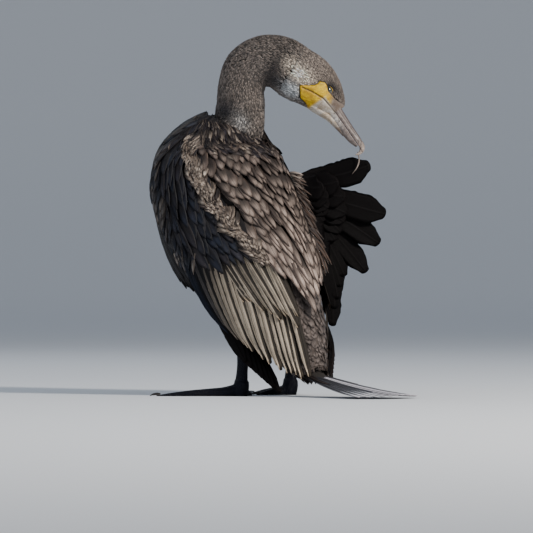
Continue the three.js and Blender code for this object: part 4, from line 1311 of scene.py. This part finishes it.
def wing_coats(covert, flight, jet, small):
    """The feathers of both wings, and of the back between them."""
    left, band = Coat(), Coat()
    mantle(left, 1, -22)
    scapulars(left, 1, -17, cleft_turn)
    shaded_coverts(left, 1, band_turn)
    ruffled_band(band, 760)
    band.piece("ruffled_band", covert, "plumage")
    fore_edge(left, 1, 9, 420)
    left.piece("coverts_left", covert, "plumage")
    grow(
        "coverts_right", covert, (mantle, -1, 22), (scapulars, -1, 17, right_cleft_turn),
        (shaded_coverts, -1, right_band_turn), (fore_edge, -1, 9, 420),
    )
    grow("greater_coverts", flight, (greater_coverts, 1, 28, 20), (greater_coverts, -1, 72, 9))
    grow("wing_lining", small, (lining, 900))
    left_tips = bird(-44, 33, 4.5), bird(-10, 56, 40)
    right_tips = bird(-58, -40, 18), bird(-40, -62, 46)
    for name, material, group, node in (
        ("secondaries_left", flight, (secondaries, 1, 18, 1.0), "wing_left_arm"),
        ("secondaries_right", flight, (secondaries, -1, 7, 0.42), "wing_right_arm"),
        ("primaries_left", jet, (primaries, 1, *left_tips, 2, BLACKISH), "wing_left_hand"),
        ("primaries_right", jet, (primaries, -1, *right_tips, 6, BRONZE_DARK), "wing_right_hand"),
    ):
        grow(name, material, group, slot="flight_feathers", nodes=[node])
    # The front layers are tinted darker than the feathers' own black, at 0.5 and 0.7 of it: painted shade of
    # the opened wing's underside.
    layers = [
        (fan, FAN_COUNT, 0.0, BLACKISH * 0.5, 1.0, 0.0),
        (fan, 14, -1.6, BLACKISH * 0.7, 0.55, -3.0),
        (fan, 12, -3.0, BLACKISH, 0.34, -1.0),
    ]
    grow("fan_feathers", jet, *layers, (held_barb,), slot="flight_feathers", nodes=["wing_right_fan"])


def plumage():
    """The whole coat, piece by piece."""
    covert = feather_material(
        "covert feathers", barbs=170.0, fringe=0.3, fringe_tone=(0.42, 0.38, 0.38), shaft_width=0.02,
        glow=2.5, gloss=0.15, start=0.5,
    )
    # The arm feathers' dark side, from inner on, is partly painted shadow of the next feather.
    flight = feather_material(
        "arm feathers", barbs=700.0, fringe=0.8, fringe_tone=(1.35, 1.25, 1.15), glow=1.15, inner=0.22,
        gloss=0.06,
    )
    jet = feather_material(
        "hand feathers", barbs=700.0, fringe=0.8, fringe_tone=(1.6, 1.4, 1.25), shaft=(0.007, 0.006, 0.006),
        gloss=0.06,
    )
    rump = feather_material(
        "body feathers", barbs=300.0, fringe=0.6, fringe_tone=(0.8, 0.76, 0.72), shaft_width=0.02, glow=1.5,
        gloss=0.2, start=0.4,
    )
    tail_vane = feather_material(
        "tail feathers", barbs=900.0, fringe=0.9, fringe_tone=(0.9, 0.9, 0.9), shaft=(0.62, 0.6, 0.66),
        shaft_width=0.045,
    )
    small = tuft_material()

    wing_coats(covert, flight, jet, small)
    grow("tail_feathers", tail_vane, (tail,), slot="flight_feathers", nodes=["tail"])
    grow("tail_coverts", covert, (tail_coverts,))
    grow("body_feathers", rump, (body_feathers,))

    dark = lambda root: BRONZE_DARK * 0.8
    size = lambda t: 9 - 3 * t
    thighs = [(thigh(side), 3500, 0.2, size, 1, dark, chart) for side, chart in ((1, 0.5), (-1, 0.05))]
    grow("thigh_feathers", small, *[(limb_tufts, *limb) for limb in thighs])
    throat = (limb_tufts, NECK, 32500, 0.0, profile(16, 8.0, 5.8, 4.8, 4.4), -1, neck_tone, 0.02)
    grow("neck_feathers", small, throat, slot="neck_plumage")
    crown = (limb_tufts, HEAD, 22000, 0.0, profile(7.0, 4.2, 3.5, 3.0, 2.6), -1, neck_tone, 0.5, bare_face)
    grow("head_feathers", small, crown, slot="neck_plumage")


# The floor's sweep from its middle out, as reach and height in metres, and its rows and sides.
SWEEP = [(0.002, 0.0), (3.2, 0.0), (6.3, 0.0), (7.6, 0.1), (8.5, 0.5), (9.0, 1.2), (9.2, 2.4)]
FLOOR_GRID = (80, 120)
LAMPS = (
    # name, place and size in metres, power, colour
    ("key", (2.3, -1.9, 2.0), 0.5, 150, (1.0, 0.95, 0.88)),
    ("fill", (-2.2, -1.6, 0.9), 1.8, 12, (0.82, 0.9, 1.0)),
    ("rim", (-1.2, 1.6, 2.1), 2.6, 16, (0.88, 0.94, 1.0)),
)
LAMP_AIM = Vector((0, 0, 0.2))
LENS = 343
CAMERA_AIM = np.array([-4.13, 0, 152.8])
CAMERA_FAR = 6  # in metres


def studio():
    """A pale round floor that turns up into a backdrop all round, soft lights and the camera."""
    line = smooth_line([(reach / MM, 0, up / MM) for reach, up in SWEEP])
    along = line(steps(FLOOR_GRID[0]))[:, None]
    turn = circle(FLOOR_GRID[1])[None]
    grid = stack(along[..., 0] * np.cos(turn), along[..., 0] * np.sin(turn), np.maximum(along[..., 2], 0))
    quads = sheet_faces(np.arange(math.prod(FLOOR_GRID)).reshape(FLOOR_GRID))[:, [0, 3, 2, 1]]
    floor = mesh_of("floor", grid + SHIFT, quads)
    paper = Nodes("pale paper")
    paper.bump(paper.noise(40.0), 0.05, 0.0005)
    floor.data.materials.append(paper.finish((0.74, 0.76, 0.79), 0.9, 0.2))

    for name, place, size, power, colour in LAMPS:
        lamp = bpy.data.lights.new(name, "AREA")
        lamp.size = size
        lamp.energy = power
        lamp.color = colour
        stand = bpy.data.objects.new(name, lamp)
        stand.location = place
        stand.rotation_euler = (LAMP_AIM - Vector(place)).to_track_quat("-Z", "Y").to_euler()
        bpy.context.scene.collection.objects.link(stand)

    world = bpy.data.worlds.new("studio air")
    bpy.context.scene.world = world
    world.use_nodes = True
    sky = world.node_tree.nodes["Background"].inputs
    sky["Color"].default_value = (0.72, 0.8, 0.92, 1)
    sky["Strength"].default_value = 0.4

    lens = bpy.data.cameras.new("camera")
    lens.sensor_width = 36
    lens.lens = LENS
    lens.clip_end = 60
    camera = bpy.data.objects.new("camera", lens)
    camera.location = Vector((CAMERA_AIM - SHIFT) * MM) + Vector((0, -CAMERA_FAR, 0))
    camera.rotation_euler = (math.pi / 2, 0, 0)
    bpy.context.scene.collection.objects.link(camera)
    bpy.context.scene.camera = camera


skin()
face()
bill()
eye("eyeball_left", 1)
eye("eyeball_right", -1)
lids()
foot("left", 1)
foot("right", -1)
plumage()
studio()
